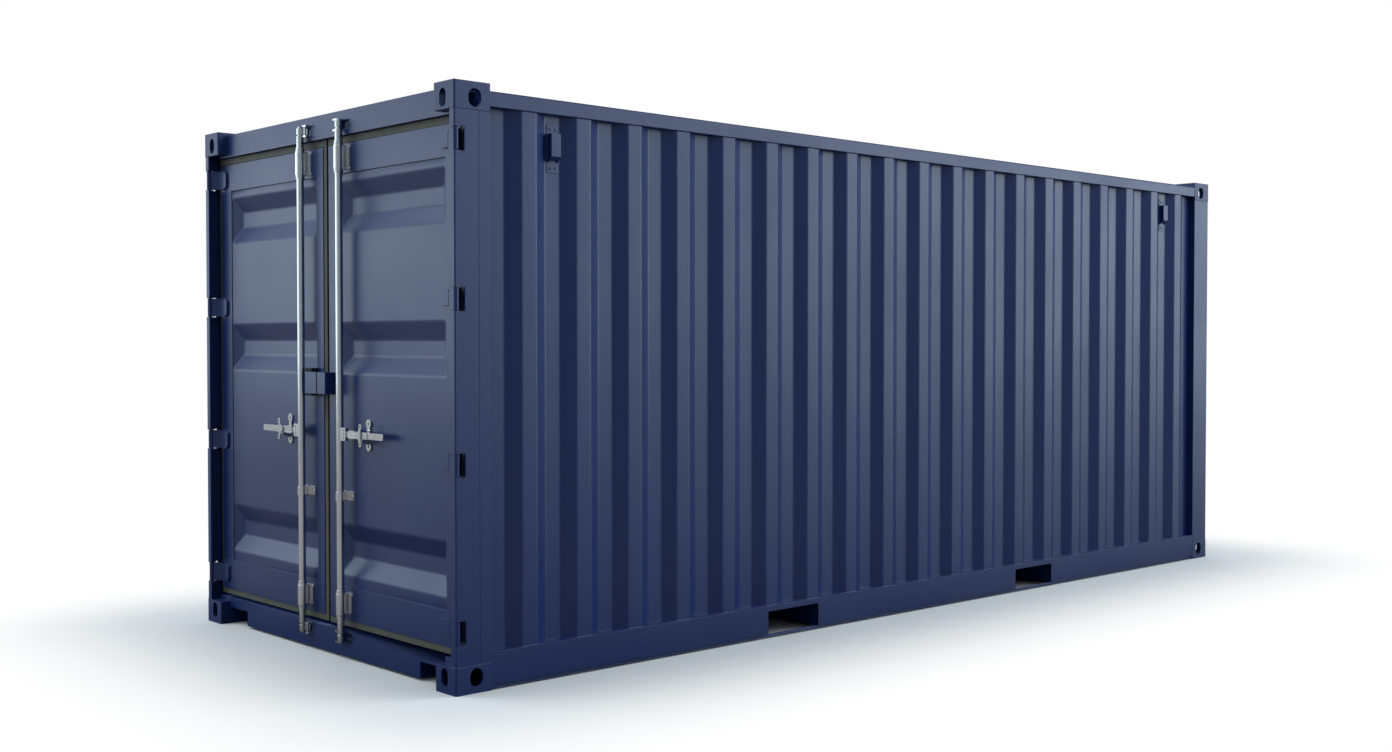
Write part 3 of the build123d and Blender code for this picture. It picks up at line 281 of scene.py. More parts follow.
def sealed_plywood():
    """Oil-stained plywood, its grain drawn out along the container."""
    material, tree = new_material("sealed_hardwood_plywood")
    place = add(tree, "TexCoord").outputs["Object"]
    drawn = add(tree, "Mapping", {"Vector": place, "Scale": (GRAIN_STRETCH, 1.0, 1.0)})
    grain = add(tree, "TexNoise", {"Vector": drawn.outputs["Vector"], "Scale": 1 / GRAIN_WIDTH,
                                   "Detail": 6.0, "Roughness": 0.65})
    figure = add(tree, "TexNoise", {"Vector": drawn.outputs["Vector"], "Scale": 1 / FIGURE,
                                    "Detail": 3.0})
    both = add(tree, "Mix", {"Factor": 0.5, "A": grain.outputs["Fac"],
                             "B": figure.outputs["Fac"]}, data_type="FLOAT")
    stain = add(tree, "MapRange", {"Value": both.outputs["Result"], "From Min": STAIN_FROM,
                                   "From Max": STAIN_TO})
    tone = add(tree, "Mix", {"Factor": stain.outputs["Result"], "A": STAIN_DARK,
                             "B": STAIN_LIGHT}, data_type="RGBA")
    relief = add(tree, "Bump", {"Height": grain.outputs["Fac"], "Distance": GRAIN_DEPTH,
                                "Strength": 1.0})
    shader = add(tree, "BsdfPrincipled", {"Base Color": tone.outputs["Result"],
                                          "Roughness": 0.5, "IOR": 1.5,
                                          "Normal": relief.outputs["Normal"]})
    add(tree, "OutputMaterial", {"Surface": shader.outputs["BSDF"]})
    return material


finishes = {
    "painted_steel": paint_on_steel,
    "painted_casting": paint_on_casting,
    "floor_plywood": sealed_plywood(),
    "door_gasket_rubber": gasket_rubber,
    "zinc_lock_gear": galvanised,
    "bright_zinc_handle": bright_zinc,
}
print("finishes:", ", ".join(finishes))

# %% [markdown]
# ## Edges that catch the light
#
# No steel edge is perfectly sharp: a rolled bar has a radius of a millimetre or two, and a
# casting about three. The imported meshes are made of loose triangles, so Weld joins them, Decimate
# merges the triangles of each flat face, Bevel rounds the edges and Weighted Normal keeps the
# large faces flat in the light. All of it is done by modifiers, so the parts keep their size.

# %% Dress the solid parts
EDGE_ROUND = {"painted_casting": 3.0 * MM, "floor_plywood": 1.0 * MM,
              "door_gasket_rubber": 2.0 * MM}
USUAL_ROUND = 1.5 * MM
SAME_CORNER = 0.01 * MM
SAME_PLANE = radians(1)


def bevel_edges(part, name, width, segments, sharp):
    """Bevel the edges that turn by more than an angle."""
    bevel = part.modifiers.new(name, "BEVEL")
    bevel.width = width
    bevel.segments = segments
    bevel.limit_method = "ANGLE"
    bevel.angle_limit = radians(sharp)


def keep_flats(part):
    """Keep the large faces flat in the light."""
    normals = part.modifiers.new("keep flats flat", "WEIGHTED_NORMAL")
    normals.keep_sharp = True


def rounded_edges(part, width):
    """Weld, Decimate, Bevel and Weighted Normal on one object."""
    weld = part.modifiers.new("join loose triangles", "WELD")
    weld.merge_threshold = SAME_CORNER
    flat = part.modifiers.new("merge flat faces", "DECIMATE")
    flat.decimate_type = "DISSOLVE"
    flat.angle_limit = SAME_PLANE
    bevel_edges(part, "round the edges", width, segments=2, sharp=30)
    keep_flats(part)


def shade_smooth(mesh):
    mesh.polygons.foreach_set("use_smooth", [True] * len(mesh.polygons))


for name, part in nodes.items():
    slot = slot_of[name]
    part.data.materials.clear()
    part.data.materials.append(finishes[slot])
    shade_smooth(part.data)
    rounded_edges(part, EDGE_ROUND.get(slot, USUAL_ROUND))
print("dressed", len(nodes), "parts")

# %% [markdown]
# ## Pressed sheets
#
# The walls, the roof and the door panels are 2 mm sheet, folded in a press. A fold is a bend
# with a radius of several millimetres, and that bend draws the thin light line beside each
# corrugation. A bevel on the solid sheet would be held back by its 2 mm edges. So the outer
# skin is taken from the part, its folds are bevelled as an open surface, and Solidify then gives
# the skin its thickness inwards. It is the way that the real sheet is made: bent, not carved.

# %% Rebend the sheets
SHEET = 2.0 * MM
FACING = 0.3
SHEETS = {
    # the way that the sheet faces, and the width of its bends
    "right_side_wall": ((0, -1, 0), 6 * MM),
    "left_side_wall": ((0, 1, 0), 6 * MM),
    "front_wall": ((1, 0, 0), 6 * MM),
    "roof": ((0, 0, 1), 5 * MM),
}


def linked(name, data):
    """A new object in the scene."""
    thing = bpy.data.objects.new(name, data)
    scene.collection.objects.link(thing)
    return thing


def mesh_of(name, shape, material):
    """The mesh of a bmesh, which is freed, in one material."""
    mesh = bpy.data.meshes.new(name)
    shape.to_mesh(mesh)
    shape.free()
    mesh.materials.append(material)
    shade_smooth(mesh)
    return mesh


def outer_skin(node, outward):
    """The flats of a sheet that face outwards, as a bmesh."""
    shape = bmesh.new()
    shape.from_mesh(nodes[node].data)
    bmesh.ops.remove_doubles(shape, verts=shape.verts, dist=SAME_CORNER)
    hidden = [face for face in shape.faces if face.normal.dot(Vector(outward)) < FACING]
    bmesh.ops.delete(shape, geom=hidden, context="FACES")
    bmesh.ops.dissolve_limit(shape, angle_limit=SAME_PLANE, verts=shape.verts,
                             edges=shape.edges)
    return shape


def press(node, shape, bend=None):
    """Round the folds of a skin, give it its thickness and let it stand for its node."""
    mesh = mesh_of(node + "_pressed", shape, finishes[slot_of[node]])
    if "custom_normal" in mesh.attributes:
        mesh.attributes.remove(mesh.attributes["custom_normal"])
    sheet = linked(node + "_pressed", mesh)
    if bend:
        bevel_edges(sheet, "bend the folds", bend, segments=4, sharp=10)
    thick = sheet.modifiers.new("sheet thickness", "SOLIDIFY")
    thick.thickness = SHEET
    thick.offset = -1.0
    keep_flats(sheet)
    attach(sheet, nodes[node]["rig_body"])
    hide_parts(node)
    print(node, "pressed from", len(mesh.polygons), "flats")


for node, (outward, bend) in SHEETS.items():
    press(node, outer_skin(node, outward), bend)

# %% [markdown]
# ## Door panels
#
# A door panel has three troughs that almost reach its side edges: only 2 mm of flat is left
# beside them, which is too thin a strip for a bevel. So the panel's skin is drawn again from the
# heights and places of its own troughs. Each trough is a set of rings that sink from its mouth to
# its floor along the curve of the press tool, and one flat with three holes is filled in around.

# %% Lines and rings of corners
SAME_PLACE = 1 * MM


def levels(values):
    """Sorted places, with those nearer than a millimetre counted once."""
    kept = []
    for value in sorted(values):
        if not kept or value - kept[-1] > SAME_PLACE:
            kept.append(value)
    return kept


def joined(shape, first, second):
    """Quads between two rings of as many corners."""
    for here in range(len(first)):
        after = (here + 1) % len(first)
        shape.faces.new((first[here], first[after], second[after], second[here]))


def rim(shape, points):
    """The closed line of edges through the given corners."""
    pairs = zip(points, points[1:] + points[:1])
    return [shape.edges.get(pair) or shape.edges.new(pair) for pair in pairs]


print("0, 0.4 and 5 mm count as", len(levels((0.0, 0.4 * MM, 5 * MM))), "levels")

# %% Redraw the door panels
BEND = 10 * MM
CORNER = 14 * MM
STEPS = 4
MOUTH_MARGIN = 1 * MM
HANDS = (("right", -1), ("left", 1))  # each side, and the sign of its y


def sinking_curve(run, depth, end_run):
    """Depth, inset from the mouth's long edges and inset from its ends, ring by ring."""
    slope = atan2(depth, run)
    radius = BEND / tan(slope / 2)
    curve = []
    for step in range(STEPS + 1):
        turn = slope * step / STEPS
        ends = MOUTH_MARGIN + (BEND * cos(slope) * end_run / run - MOUTH_MARGIN) * step / STEPS
        curve.append((radius * (1 - cos(turn)), radius * sin(turn) - BEND, ends))
    for step in range(STEPS, -1, -1):
        turn = slope * step / STEPS
        inset = run + BEND - radius * sin(turn)
        curve.append((depth - radius * (1 - cos(turn)), inset, inset * end_run / run))
    return curve


def ring(shape, x, ys, zs):
    """The corners of a rounded rectangle, all at one depth."""
    (left, right), (low, high) = ((near + CORNER, far - CORNER) for near, far in (ys, zs))
    return [shape.verts.new((x, y + CORNER * cos(turn), z + CORNER * sin(turn)))
            for corner, (y, z) in enumerate(((right, high), (left, high), (left, low),
                                             (right, low)))
            for turn in (radians(90 * (corner + step / STEPS)) for step in range(STEPS + 1))]


def door_panel_skin(node):
    """A flat with three smooth troughs, measured on the panel itself."""
    skin = outer_skin(node, (-1, 0, 0))
    places = [vertex.co.copy() for vertex in skin.verts]
    skin.free()
    (face, *_, deep), sides, ends = (sorted(p[axis] for p in places) for axis in range(3))
    sides, ends = (sides[0], sides[-1]), (ends[0], ends[-1])
    floor = [p for p in places if deep - p.x < SAME_PLACE]
    floor_side, floor_low = min(p.y for p in floor), min(p.z for p in floor)
    mouths = levels(p.z for p in places if p.x - face < SAME_PLACE
                    and all(abs(p.y - side) > SAME_PLACE for side in sides))
    shape = bmesh.new()
    outline = [shape.verts.new((face, sides[y], ends[z]))
               for y, z in ((0, 0), (1, 0), (1, 1), (0, 1))]
    rims = rim(shape, outline)
    curve = sinking_curve(floor_low - mouths[0], deep - face, floor_side - sides[0])
    for low, high in zip(mouths[::2], mouths[1::2]):
        rings = [ring(shape, face + depth, (sides[0] + from_end, sides[1] - from_end),
                      (low + down, high - down)) for depth, down, from_end in curve]
        for outer, inner in zip(rings, rings[1:]):
            joined(shape, outer, inner)
        shape.faces.new(rings[-1])
        rims += rim(shape, rings[0])
    bmesh.ops.triangle_fill(shape, use_beauty=True, use_dissolve=False, edges=rims)
    bmesh.ops.recalc_face_normals(shape, faces=shape.faces)
    shape.normal_update()
    if sum(flat.normal.x * flat.calc_area() for flat in shape.faces) > 0:
        bmesh.ops.reverse_faces(shape, faces=shape.faces)
    return shape


for side, _ in HANDS:
    press(side + "_door_panel", door_panel_skin(side + "_door_panel"))

# %% [markdown]
# ## Weld beads
#
# Every joint of the box is arc-welded. A bead is a small ridge of metal in the corner, with a
# ripple where each drop froze. It could be a bump in the paint, but it is a real ridge that
# catches light, so it is built as a rippled tube, half sunk in the steel. A ripple of 2 mm would
# need too many faces, so it is drawn at 9 mm.

# %% Build rippled beads along a path
RIPPLE = 9 * MM
RIPPLE_SWING = 0.12
HAND_SWING = 0.05
BEAD_SIDES = 6
THIN_BEAD = 2.5 * MM
THICK_BEAD = 3 * MM
welder = random.Random(20)


def resampled(path, step):
    """Points about one step apart along a path."""
    points = [Vector(path[0])]
    for start, stop in zip(path, path[1:]):
        start = Vector(start)
        run = Vector(stop) - start
        count = max(1, round(run.length / step))
        points += [start + run * (number / count) for number in range(1, count + 1)]
    return points


def circle(shape, centre, ahead, radius, sides):
    """The corners of a circle that faces ahead."""
    across = ahead.orthogonal().normalized()
    beside = ahead.cross(across)
    return [shape.verts.new(centre + (across * cos(turn) + beside * sin(turn)) * radius)
            for turn in (tau * side / sides for side in range(sides))]


def add_bead(shape, path, radius):
    """A closed tube along the path whose radius swells at each ripple."""
    points = resampled(path, RIPPLE / 2)
    rings = []
    for number, point in enumerate(points):
        before = points[max(number - 1, 0)]
        after = points[min(number + 1, len(points) - 1)]
        ripple = RIPPLE_SWING if number % 2 else -RIPPLE_SWING
        swell = radius * (1.0 + ripple + welder.uniform(-HAND_SWING, HAND_SWING))
        rings.append(circle(shape, point, (after - before).normalized(), swell, BEAD_SIDES))
    for first, second in zip(rings, rings[1:]):
        shift = min(range(BEAD_SIDES), key=lambda s: (second[s].co - first[0].co).length)
        joined(shape, first, second[shift:] + second[:shift])
    shape.faces.new(reversed(rings[0]))
    shape.faces.new(rings[-1])


def made(name, shape, body, slot, material=None):
    """A bmesh turned into an object that rides on a body."""
    bmesh.ops.recalc_face_normals(shape, faces=shape.faces)
    mesh = mesh_of(name, shape, material or finishes[slot])
    piece = linked(name, mesh)
    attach(piece, body)
    print(name, len(mesh.polygons), "faces")
    return piece


def weld_beads(name, paths, body, radius):
    """Beads along all the paths, as one piece."""
    shape = bmesh.new()
    for path in paths:
        add_bead(shape, path, radius)
    return made(name, shape, body, "painted_steel")


print("beads ripple every", round(RIPPLE / MM), "mm")

# %% Welds along the walls
def sheet_edge(node, height, side):
    """The outer line of a corrugated wall at one height, from end to end."""
    outer = {}
    for vertex in nodes[node].data.vertices:
        if abs(vertex.co.z - height) < SAME_PLACE:
            key = round(vertex.co.x, 4)
            if key not in outer or side * vertex.co.y > side * outer[key]:
                outer[key] = vertex.co.y
    return [(x, outer[x], height) for x in sorted(outer)]


for side, sign in HANDS:
    wall = side + "_side_wall"
    low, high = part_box(wall)
    valley = high.y if sign < 0 else low.y
    paths = [sheet_edge(wall, height, sign) for height in (low.z, high.z)]
    paths += [[(end, valley, low.z), (end, valley, high.z)] for end in (low.x, high.x)]
    weld_beads(side + "_wall_welds", paths, "root", THIN_BEAD)

# %% Welds of the frame
SUNK = 1.6 * MM


def frame_seams():
    """Where posts, rails and castings meet, on the outer faces."""
    post_low, post_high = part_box("right_door_post_bar")
    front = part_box("front_corner_posts")[1]
    rail_low, rail_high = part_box("right_top_rail")
    base_low, base_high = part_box("right_bottom_rail")
    header_low, header_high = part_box("door_header")
    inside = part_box("front_top_rail")[1].y
    door_end, blind_end = post_low.x + SUNK, front.x - SUNK
    seams = []
    for sign in (-1, 1):
        face = sign * (front.y - SUNK)
        for height in (post_low.z, post_high.z):
            seams.append([(door_end, sign * -post_high.y, height), (door_end, face, height),
                          (rail_low.x, face, height)])
            seams.append([(rail_high.x, face, height), (blind_end, face, height),
                          (blind_end, sign * inside, height)])
        for end in (rail_low.x, rail_high.x):
            seams.append([(end, face, rail_low.z), (end, face, rail_high.z)])
            seams.append([(end, face, base_low.z), (end, face, base_high.z)])
        seams.append([(header_low.x, sign * inside, post_high.z),
                      (header_low.x, sign * inside, header_high.z)])
    return seams


weld_beads("frame_welds", frame_seams(), "root", THICK_BEAD)

# %% Welds of the roof
ROOF_PITCH = 205 * MM
ROOF_SEAMS = (-8.5, -2.5, 2.5, 8.5)  # in pitches from the middle
ROOF_EDGE = 3 * MM


def roof_seams():
    """The edge of the roof, and the seams between its five sheets."""
    low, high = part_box("roof")
    top = low.z + SHEET
    near, far = low.x + ROOF_EDGE, high.x - ROOF_EDGE
    right, left = low.y + ROOF_EDGE, high.y - ROOF_EDGE
    around = [(near, right, top), (far, right, top), (far, left, top), (near, left, top),
              (near, right, top)]
    middle = (low.x + high.x) / 2
    return [around] + [[(middle + place * ROOF_PITCH, y, top) for y in (right, left)]
                       for place in ROOF_SEAMS]


weld_beads("roof_welds", roof_seams(), "root", THIN_BEAD)

# %% Welds of the doors
BLADE_HALF = 48 * MM
BLADE_CORNER = (20 * MM, 15 * MM)


def blade_heights(side):
    """Middles of the four hinge blades of a leaf."""
    places = levels(vertex.co.z for vertex in nodes[side + "_hinge_blades"].data.vertices)
    return [place + BLADE_HALF for place in places
            if any(abs(other - place - 2 * BLADE_HALF) < SAME_PLACE for other in places)]


def door_seams(side, sign):
    """Around each hinge blade, on the front of the leaf."""
    frame_low, frame_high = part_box(side + "_door_frame")
    edge = max(abs(frame_low.y), abs(frame_high.y))
    blade_low, blade_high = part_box(side + "_hinge_blades")
    tip = min(abs(blade_low.y), abs(blade_high.y))
    run, rise = BLADE_CORNER
    upper = ((edge, BLADE_HALF), (tip + run, BLADE_HALF), (tip, BLADE_HALF - rise))
    outline = upper + tuple((y, -z) for y, z in reversed(upper))
    return [[(frame_low.x, sign * y, middle + z) for y, z in outline]
            for middle in blade_heights(side)]


for side, sign in HANDS:
    print(side, "blades at", [round(z, 3) for z in blade_heights(side)])
    weld_beads(side + "_door_welds", door_seams(side, sign), side + "_door", THIN_BEAD)

# %% [markdown]
# ## Painted shadow lines
#
# The panel is set into the leaf's frame a little behind its face, and that step lies in shade
# along its top and one side. A thin line of black rubber paints that shade there. A second line
# paints the shade in the joint between the top of the leaf and its gasket. Both are as uneven as
# a weld, and the same rippled tube draws them.

# %% Painted shadow lines
PANEL_SHADOW_LINE = 3 * MM
GASKET_SHADOW_LINE = 4 * MM
for side, sign in HANDS:
    low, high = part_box(side + "_door_panel")
    leaf_low, leaf_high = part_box(side + "_door_frame")
    rubber_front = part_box(side + "_door_gasket")[0].x
    shape = bmesh.new()
    # Black lines along the panel's top and +y edge and under the gasket: painted shade in the gaps
    add_bead(shape, [(low.x, low.y, high.z), (low.x, high.y, high.z), (low.x, high.y, low.z)],
             PANEL_SHADOW_LINE)
    add_bead(shape, [(rubber_front, y, leaf_high.z) for y in (leaf_low.y, leaf_high.y)],
             GASKET_SHADOW_LINE)
    made(side + "_panel_shadow_lines", shape, side + "_door", "door_gasket_rubber", shade_black_rubber)
    print(side, "panel is set back by", round((low.x - leaf_low.x) / MM, 1), "mm")

# %% [markdown]
# ## Hinge straps
#
# The blades of the right leaf reach further in than the left ones do. Their ends are flat plate
# with clipped corners, which is cut from an outline, extruded to its thickness and softened at
# the edges by the same modifiers as the parts themselves.

# %% Hinge straps
STRAP_REACH = 62 * MM
STRAP_THICKNESS = 13 * MM
STRAP_HALF = 33 * MM
STRAP_CLIP = 9 * MM
STRAP_RAISE = 7 * MM


def plate(shape, outline, back, thickness):
    """A flat plate, standing off the plane x = back by its thickness."""
    far = [shape.verts.new((back, y, z)) for y, z in outline]
    near = [shape.verts.new((back - thickness, y, z)) for y, z in outline]
    shape.faces.new(near)
    shape.faces.new(reversed(far))
    joined(shape, near, far)


leaf_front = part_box("right_door_frame")[0].x
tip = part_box("right_hinge_blades")[1].y
inner = tip + STRAP_REACH
shape = bmesh.new()
for height in blade_heights("right"):
    low, high = (height + STRAP_RAISE + half for half in (-STRAP_HALF, STRAP_HALF))
    plate(shape, [(tip, low), (inner - STRAP_CLIP, low), (inner, low + STRAP_CLIP),
                  (inner, high - STRAP_CLIP), (inner - STRAP_CLIP, high), (tip, high)],
          leaf_front, STRAP_THICKNESS)
straps = made("right_hinge_straps", shape, "right_door", "painted_steel")
rounded_edges(straps, USUAL_ROUND)

# %% [markdown]
# ## Bolts, rivets and screws
#
# The rod brackets are held by round-headed lock bolts, the ventilators by blind rivets and the
# floor by self-tapping screws, two to a board at each cross member. All three are small domes,
# so one function makes them: rings of points that rise and close towards the crown.

# %% Round heads
HEAD_SIDES = 12
HEAD_PROFILE = ((1.0, -0.3), (1.0, 0.3), (0.82, 0.75), (0.45, 0.97))


def round_heads(name, places, outward, head, body, slot):
    """Domed heads of a radius and a height at the given places, all facing outward."""
    outward = Vector(outward)
    radius, height = head
    shape = bmesh.new()
    for place in places:
        rings = [circle(shape, Vector(place) + outward * (rise * height), outward,
                        wide * radius, HEAD_SIDES) for wide, rise in HEAD_PROFILE]
        crown = shape.verts.new(Vector(place) + outward * height)
        for first, second in zip(rings, rings[1:]):
            joined(shape, first, second)
        for side in range(HEAD_SIDES):
            shape.faces.new((rings[-1][side], rings[-1][(side + 1) % HEAD_SIDES], crown))
        shape.faces.new(reversed(rings[0]))
    return made(name, shape, body, slot)


print("a round head has", HEAD_SIDES, "sides")

# %% Bolts of the rod brackets
BASE_PLATE = 5 * MM
BRACKET_HEAD = (5 * MM, 3.5 * MM)
BRACKET_BESIDE = 29 * MM
TOP_BOLTS = (-65 * MM, 49 * MM)
LOW_BOLTS = (58 * MM, 42 * MM)
GUIDE_HEAD = (6 * MM, 4 * MM)
GUIDE_BESIDE = 43 * MM
GUIDE_HEIGHT = 768 * MM
for side, sign in HANDS:
    low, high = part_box(side + "_rod_brackets")
    rod = (low.y + high.y) / 2
    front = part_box(side + "_door_frame")[0].x - BASE_PLATE
    bolts = [(front, rod + turn * BRACKET_BESIDE, edge + inset + rise * half)
             for edge, (inset, half) in ((high.z, TOP_BOLTS), (low.z, LOW_BOLTS))
             for turn in (-1, 1) for rise in (-1, 1)]
    round_heads(side + "_bracket_bolts", bolts, (-1, 0, 0), BRACKET_HEAD, side + "_door",
                "zinc_lock_gear")
    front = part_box(side + "_door_panel")[0].x - BASE_PLATE
    bolts = [(front, rod + turn * GUIDE_BESIDE, GUIDE_HEIGHT) for turn in (-1, 1)]
    round_heads(side + "_guide_bolts", bolts, (-1, 0, 0), GUIDE_HEAD, side + "_door",
                "zinc_lock_gear")

# %% Rivets of the ventilators
RIVET_HEAD = (6 * MM, 2.5 * MM)
RIVET_BESIDE = 15 * MM
RIVET_RISE = 86 * MM
VENT_PLATE = 3 * MM
VENT_PLACE = 33 * MM
low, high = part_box("side_vents")
middle = (low.z + high.z) / 2
for side, sign in HANDS:
    wall_low, wall_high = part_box(side + "_side_wall")
    valley = wall_high.y - SHEET if sign < 0 else wall_low.y + SHEET
    rivets = [(x + turn * RIVET_BESIDE, valley + sign * VENT_PLATE, middle + rise * RIVET_RISE)
              for x in (low.x + VENT_PLACE, high.x - VENT_PLACE)
              for turn in (-1, 1) for rise in (-1, 1)]
    round_heads(side + "_vent_rivets", rivets, (0, sign, 0), RIVET_HEAD, "root",
                "painted_steel")

# %% Screws of the floor
SCREW_HEAD = (7 * MM, 1.2 * MM)
BOARDS = 5
SCREW_EDGE = 60 * MM
BEAM_WIDTH = 60 * MM
SCREW_BACK = 20 * MM
floor_low, floor_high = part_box("floor_boards")
board = (floor_high.y - floor_low.y) / BOARDS
beam_places = levels(vertex.co.x for vertex in nodes["cross_members"].data.vertices)
beams = [place for place in beam_places if all(other <= place or other > place + BEAM_WIDTH
                                               for other in beam_places)]
screws = [(x - SCREW_BACK, floor_low.y + number * board + inset, floor_high.z)
          for x in beams for number in range(BOARDS) for inset in (SCREW_EDGE, board - SCREW_EDGE)]
round_heads("floor_screws", screws, (0, 0, 1), SCREW_HEAD, "root", "zinc_lock_gear")
print(len(screws), "floor screws over", len(beams), "cross members")

# %% [markdown]
# ## Lips of the gaskets
#
# A gasket is extruded with a lip that stands up against the header and hides the gap above the
# leaf. The lip is a long strip of the same rubber, so it is made as a block with round edges.

# %% Rounded blocks and the gasket lips
BLOCK_ROUND = 0.3
LIP_LAP = 1 * MM
LIP_REACH = 5.5 * MM
LIP_DEPTH = 9 * MM


def rounded_block(name, low, high, body, slot, material=None):
    """A closed block with rounded edges."""
    low, high = Vector(low), Vector(high)
    size = high - low
    shape = bmesh.new()
    bmesh.ops.create_cube(shape, size=1.0)
    bmesh.ops.scale(shape, vec=size, verts=shape.verts)
    bmesh.ops.translate(shape, vec=(high + low) / 2, verts=shape.verts)
    bmesh.ops.bevel(shape, geom=shape.edges[:], offset=min(size) * BLOCK_ROUND, segments=3,
                    affect="EDGES", profile=0.5)
    piece = made(name, shape, body, slot, material)
    keep_flats(piece)
    return piece


for side, sign in HANDS:
    low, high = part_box(side + "_door_gasket")
    rounded_block(side + "_gasket_lip", (low.x, low.y, high.z - LIP_LAP),
                  (low.x + LIP_DEPTH, high.y, high.z + LIP_REACH), side + "_door",
                  "door_gasket_rubber", gasket_rubber)

# %% [markdown]
# ## Closing strips at the blind end
#
# On the real container the sheets of the walls are lapped onto the two posts of the blind end and
# welded, so the joint is rainproof. Here the flanges of the posts stop 9 mm short of the side
# walls and 17 mm short of the end wall. A welder would close such a slit with a strip of plate,
# so four strips, 6 mm thick, do the same from the bottom rail up to the castings.

# %% Closing strips
STRIP_SHEET = 6 * MM
STRIP_LAP = 12.5 * MM
END_LAP = 20.5 * MM
post_low, post_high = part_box("front_corner_posts")
wall_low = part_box("left_side_wall")[0]
end_low, end_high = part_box("front_wall")
for side, sign in HANDS:
    reach = sorted((sign * wall_low.y, sign * (wall_low.y + STRIP_LAP)))
    rounded_block(side + "_post_closing_strip", (post_low.x, reach[0], wall_low.z),
                  (post_low.x + STRIP_SHEET, reach[1], post_high.z), "root", "painted_steel")
    reach = sorted((sign * end_high.y, sign * (end_high.y + STRIP_SHEET)))
    rounded_block(side + "_end_closing_strip", (end_low.x, reach[0], end_low.z),
                  (end_low.x + END_LAP, reach[1], post_high.z), "root", "painted_steel")

# %% [markdown]
# ## Black strips at the lock box
#
# Two strips of black rubber, one over the box and one under it, paint the dark bands that shade
# makes there: painted shade. Their edges are round, and they lie on the left leaf, beside the rod.

# %% Strips over and under the lock box
BOX_ENDS = (100 * MM, 168 * MM)
BOX_DEPTH = 36 * MM
BOX_GAP = 0.5 * MM
ABOVE = 19 * MM
BELOW = 12 * MM
low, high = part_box("left_lock_box")
# Black rubber put where shade falls above and below the box: painted shade
for name, bottom, top in (("left_rain_strip", high.z + BOX_GAP, high.z + ABOVE),
                          ("left_lower_strip", low.z - BELOW, low.z - BOX_GAP)):
    rounded_block(name, (high.x - BOX_DEPTH, BOX_ENDS[0], bottom), (high.x, BOX_ENDS[1], top),
                  "left_door", "door_gasket_rubber", shade_black_rubber)

# %% [markdown]
# ## Camera
#
# The camera was fitted to the six corners that the photograph shows, using the container's
# standard size: it stands at eye height, 6.5 m from the corner, with a normal lens. A small
# sideways shift puts the container where it sits in the picture.

# %% Place the camera
PHOTO_WIDTH = 1392
FOCAL_PIXELS = 1516.49
FILM = 36.0
EYE = (-6.48227, -6.70746, 1.49663)
YAW = 0.8006
PITCH = 0.0227
ROLL = 0.0013
SIDE_SHIFT = -0.0573
FAR_LIMIT = 200.0


def look(yaw, pitch, roll):
    """Rotation of a camera that looks along a compass angle, tipped down by the pitch."""
    ahead = Vector((cos(yaw) * cos(pitch), sin(yaw) * cos(pitch), -sin(pitch)))
    level = Vector((sin(yaw), -cos(yaw), 0.0))
    upright = level.cross(ahead)
    right = level * cos(roll) + upright * sin(roll)
    up = upright * cos(roll) - level * sin(roll)
    return Matrix((right, up, -ahead)).transposed()


camera = linked("camera", bpy.data.cameras.new("camera"))
camera.matrix_world = Matrix.Translation(EYE) @ look(YAW, PITCH, ROLL).to_4x4()
camera.data.sensor_width = FILM
camera.data.lens = FILM * FOCAL_PIXELS / PHOTO_WIDTH
camera.data.shift_x = SIDE_SHIFT
camera.data.clip_end = FAR_LIMIT
scene.camera = camera
print("lens", round(camera.data.lens, 1), "mm")

# %% [markdown]
# ## Studio
#
# The picture was lit softly: two panels stand to the left of the doors, one low and one above,
# and a third lights the long wall from the right. Three area lamps are the panels. The world is
# a pale room, as bright as a white wall, with a dark side behind the camera, which the folds
# that face it mirror as deep navy, a darker one beyond the blind end, and a bright spot far to
# the right, which the long wall mirrors at a low angle. The lit surfaces and the mirroring ones
# see this room. The camera, and what is seen through clear material, meets plain white instead,
# so the backdrop is white without more light on the object.
#
# The floor is pale and keeps the soft shadow near the object, and fades to the same white over
# 1.3 m. Metal mirrors the faded part at 0.3 of its strength, and light that bounces from the
# floor meets a grey one, because the underside would else be too bright.

# %% Floor
FLOOR_REACH = 40.0
FADE_OVER = 1.3
MIRRORED_SHARE = 0.3
FLOOR_COLOUR = colour("#f0ebe8")
FLOOR_UNSEEN = colour("#5a5a5a")
WHITE = colour("#ffffff")


def seen_plainly(tree, rays):
    """1 for what the camera sees, straight or through clear material."""
    return add(tree, "Math", {0: rays["Is Camera Ray"], 1: rays["Is Transmission Ray"]},
               operation="MAXIMUM").outputs["Value"]


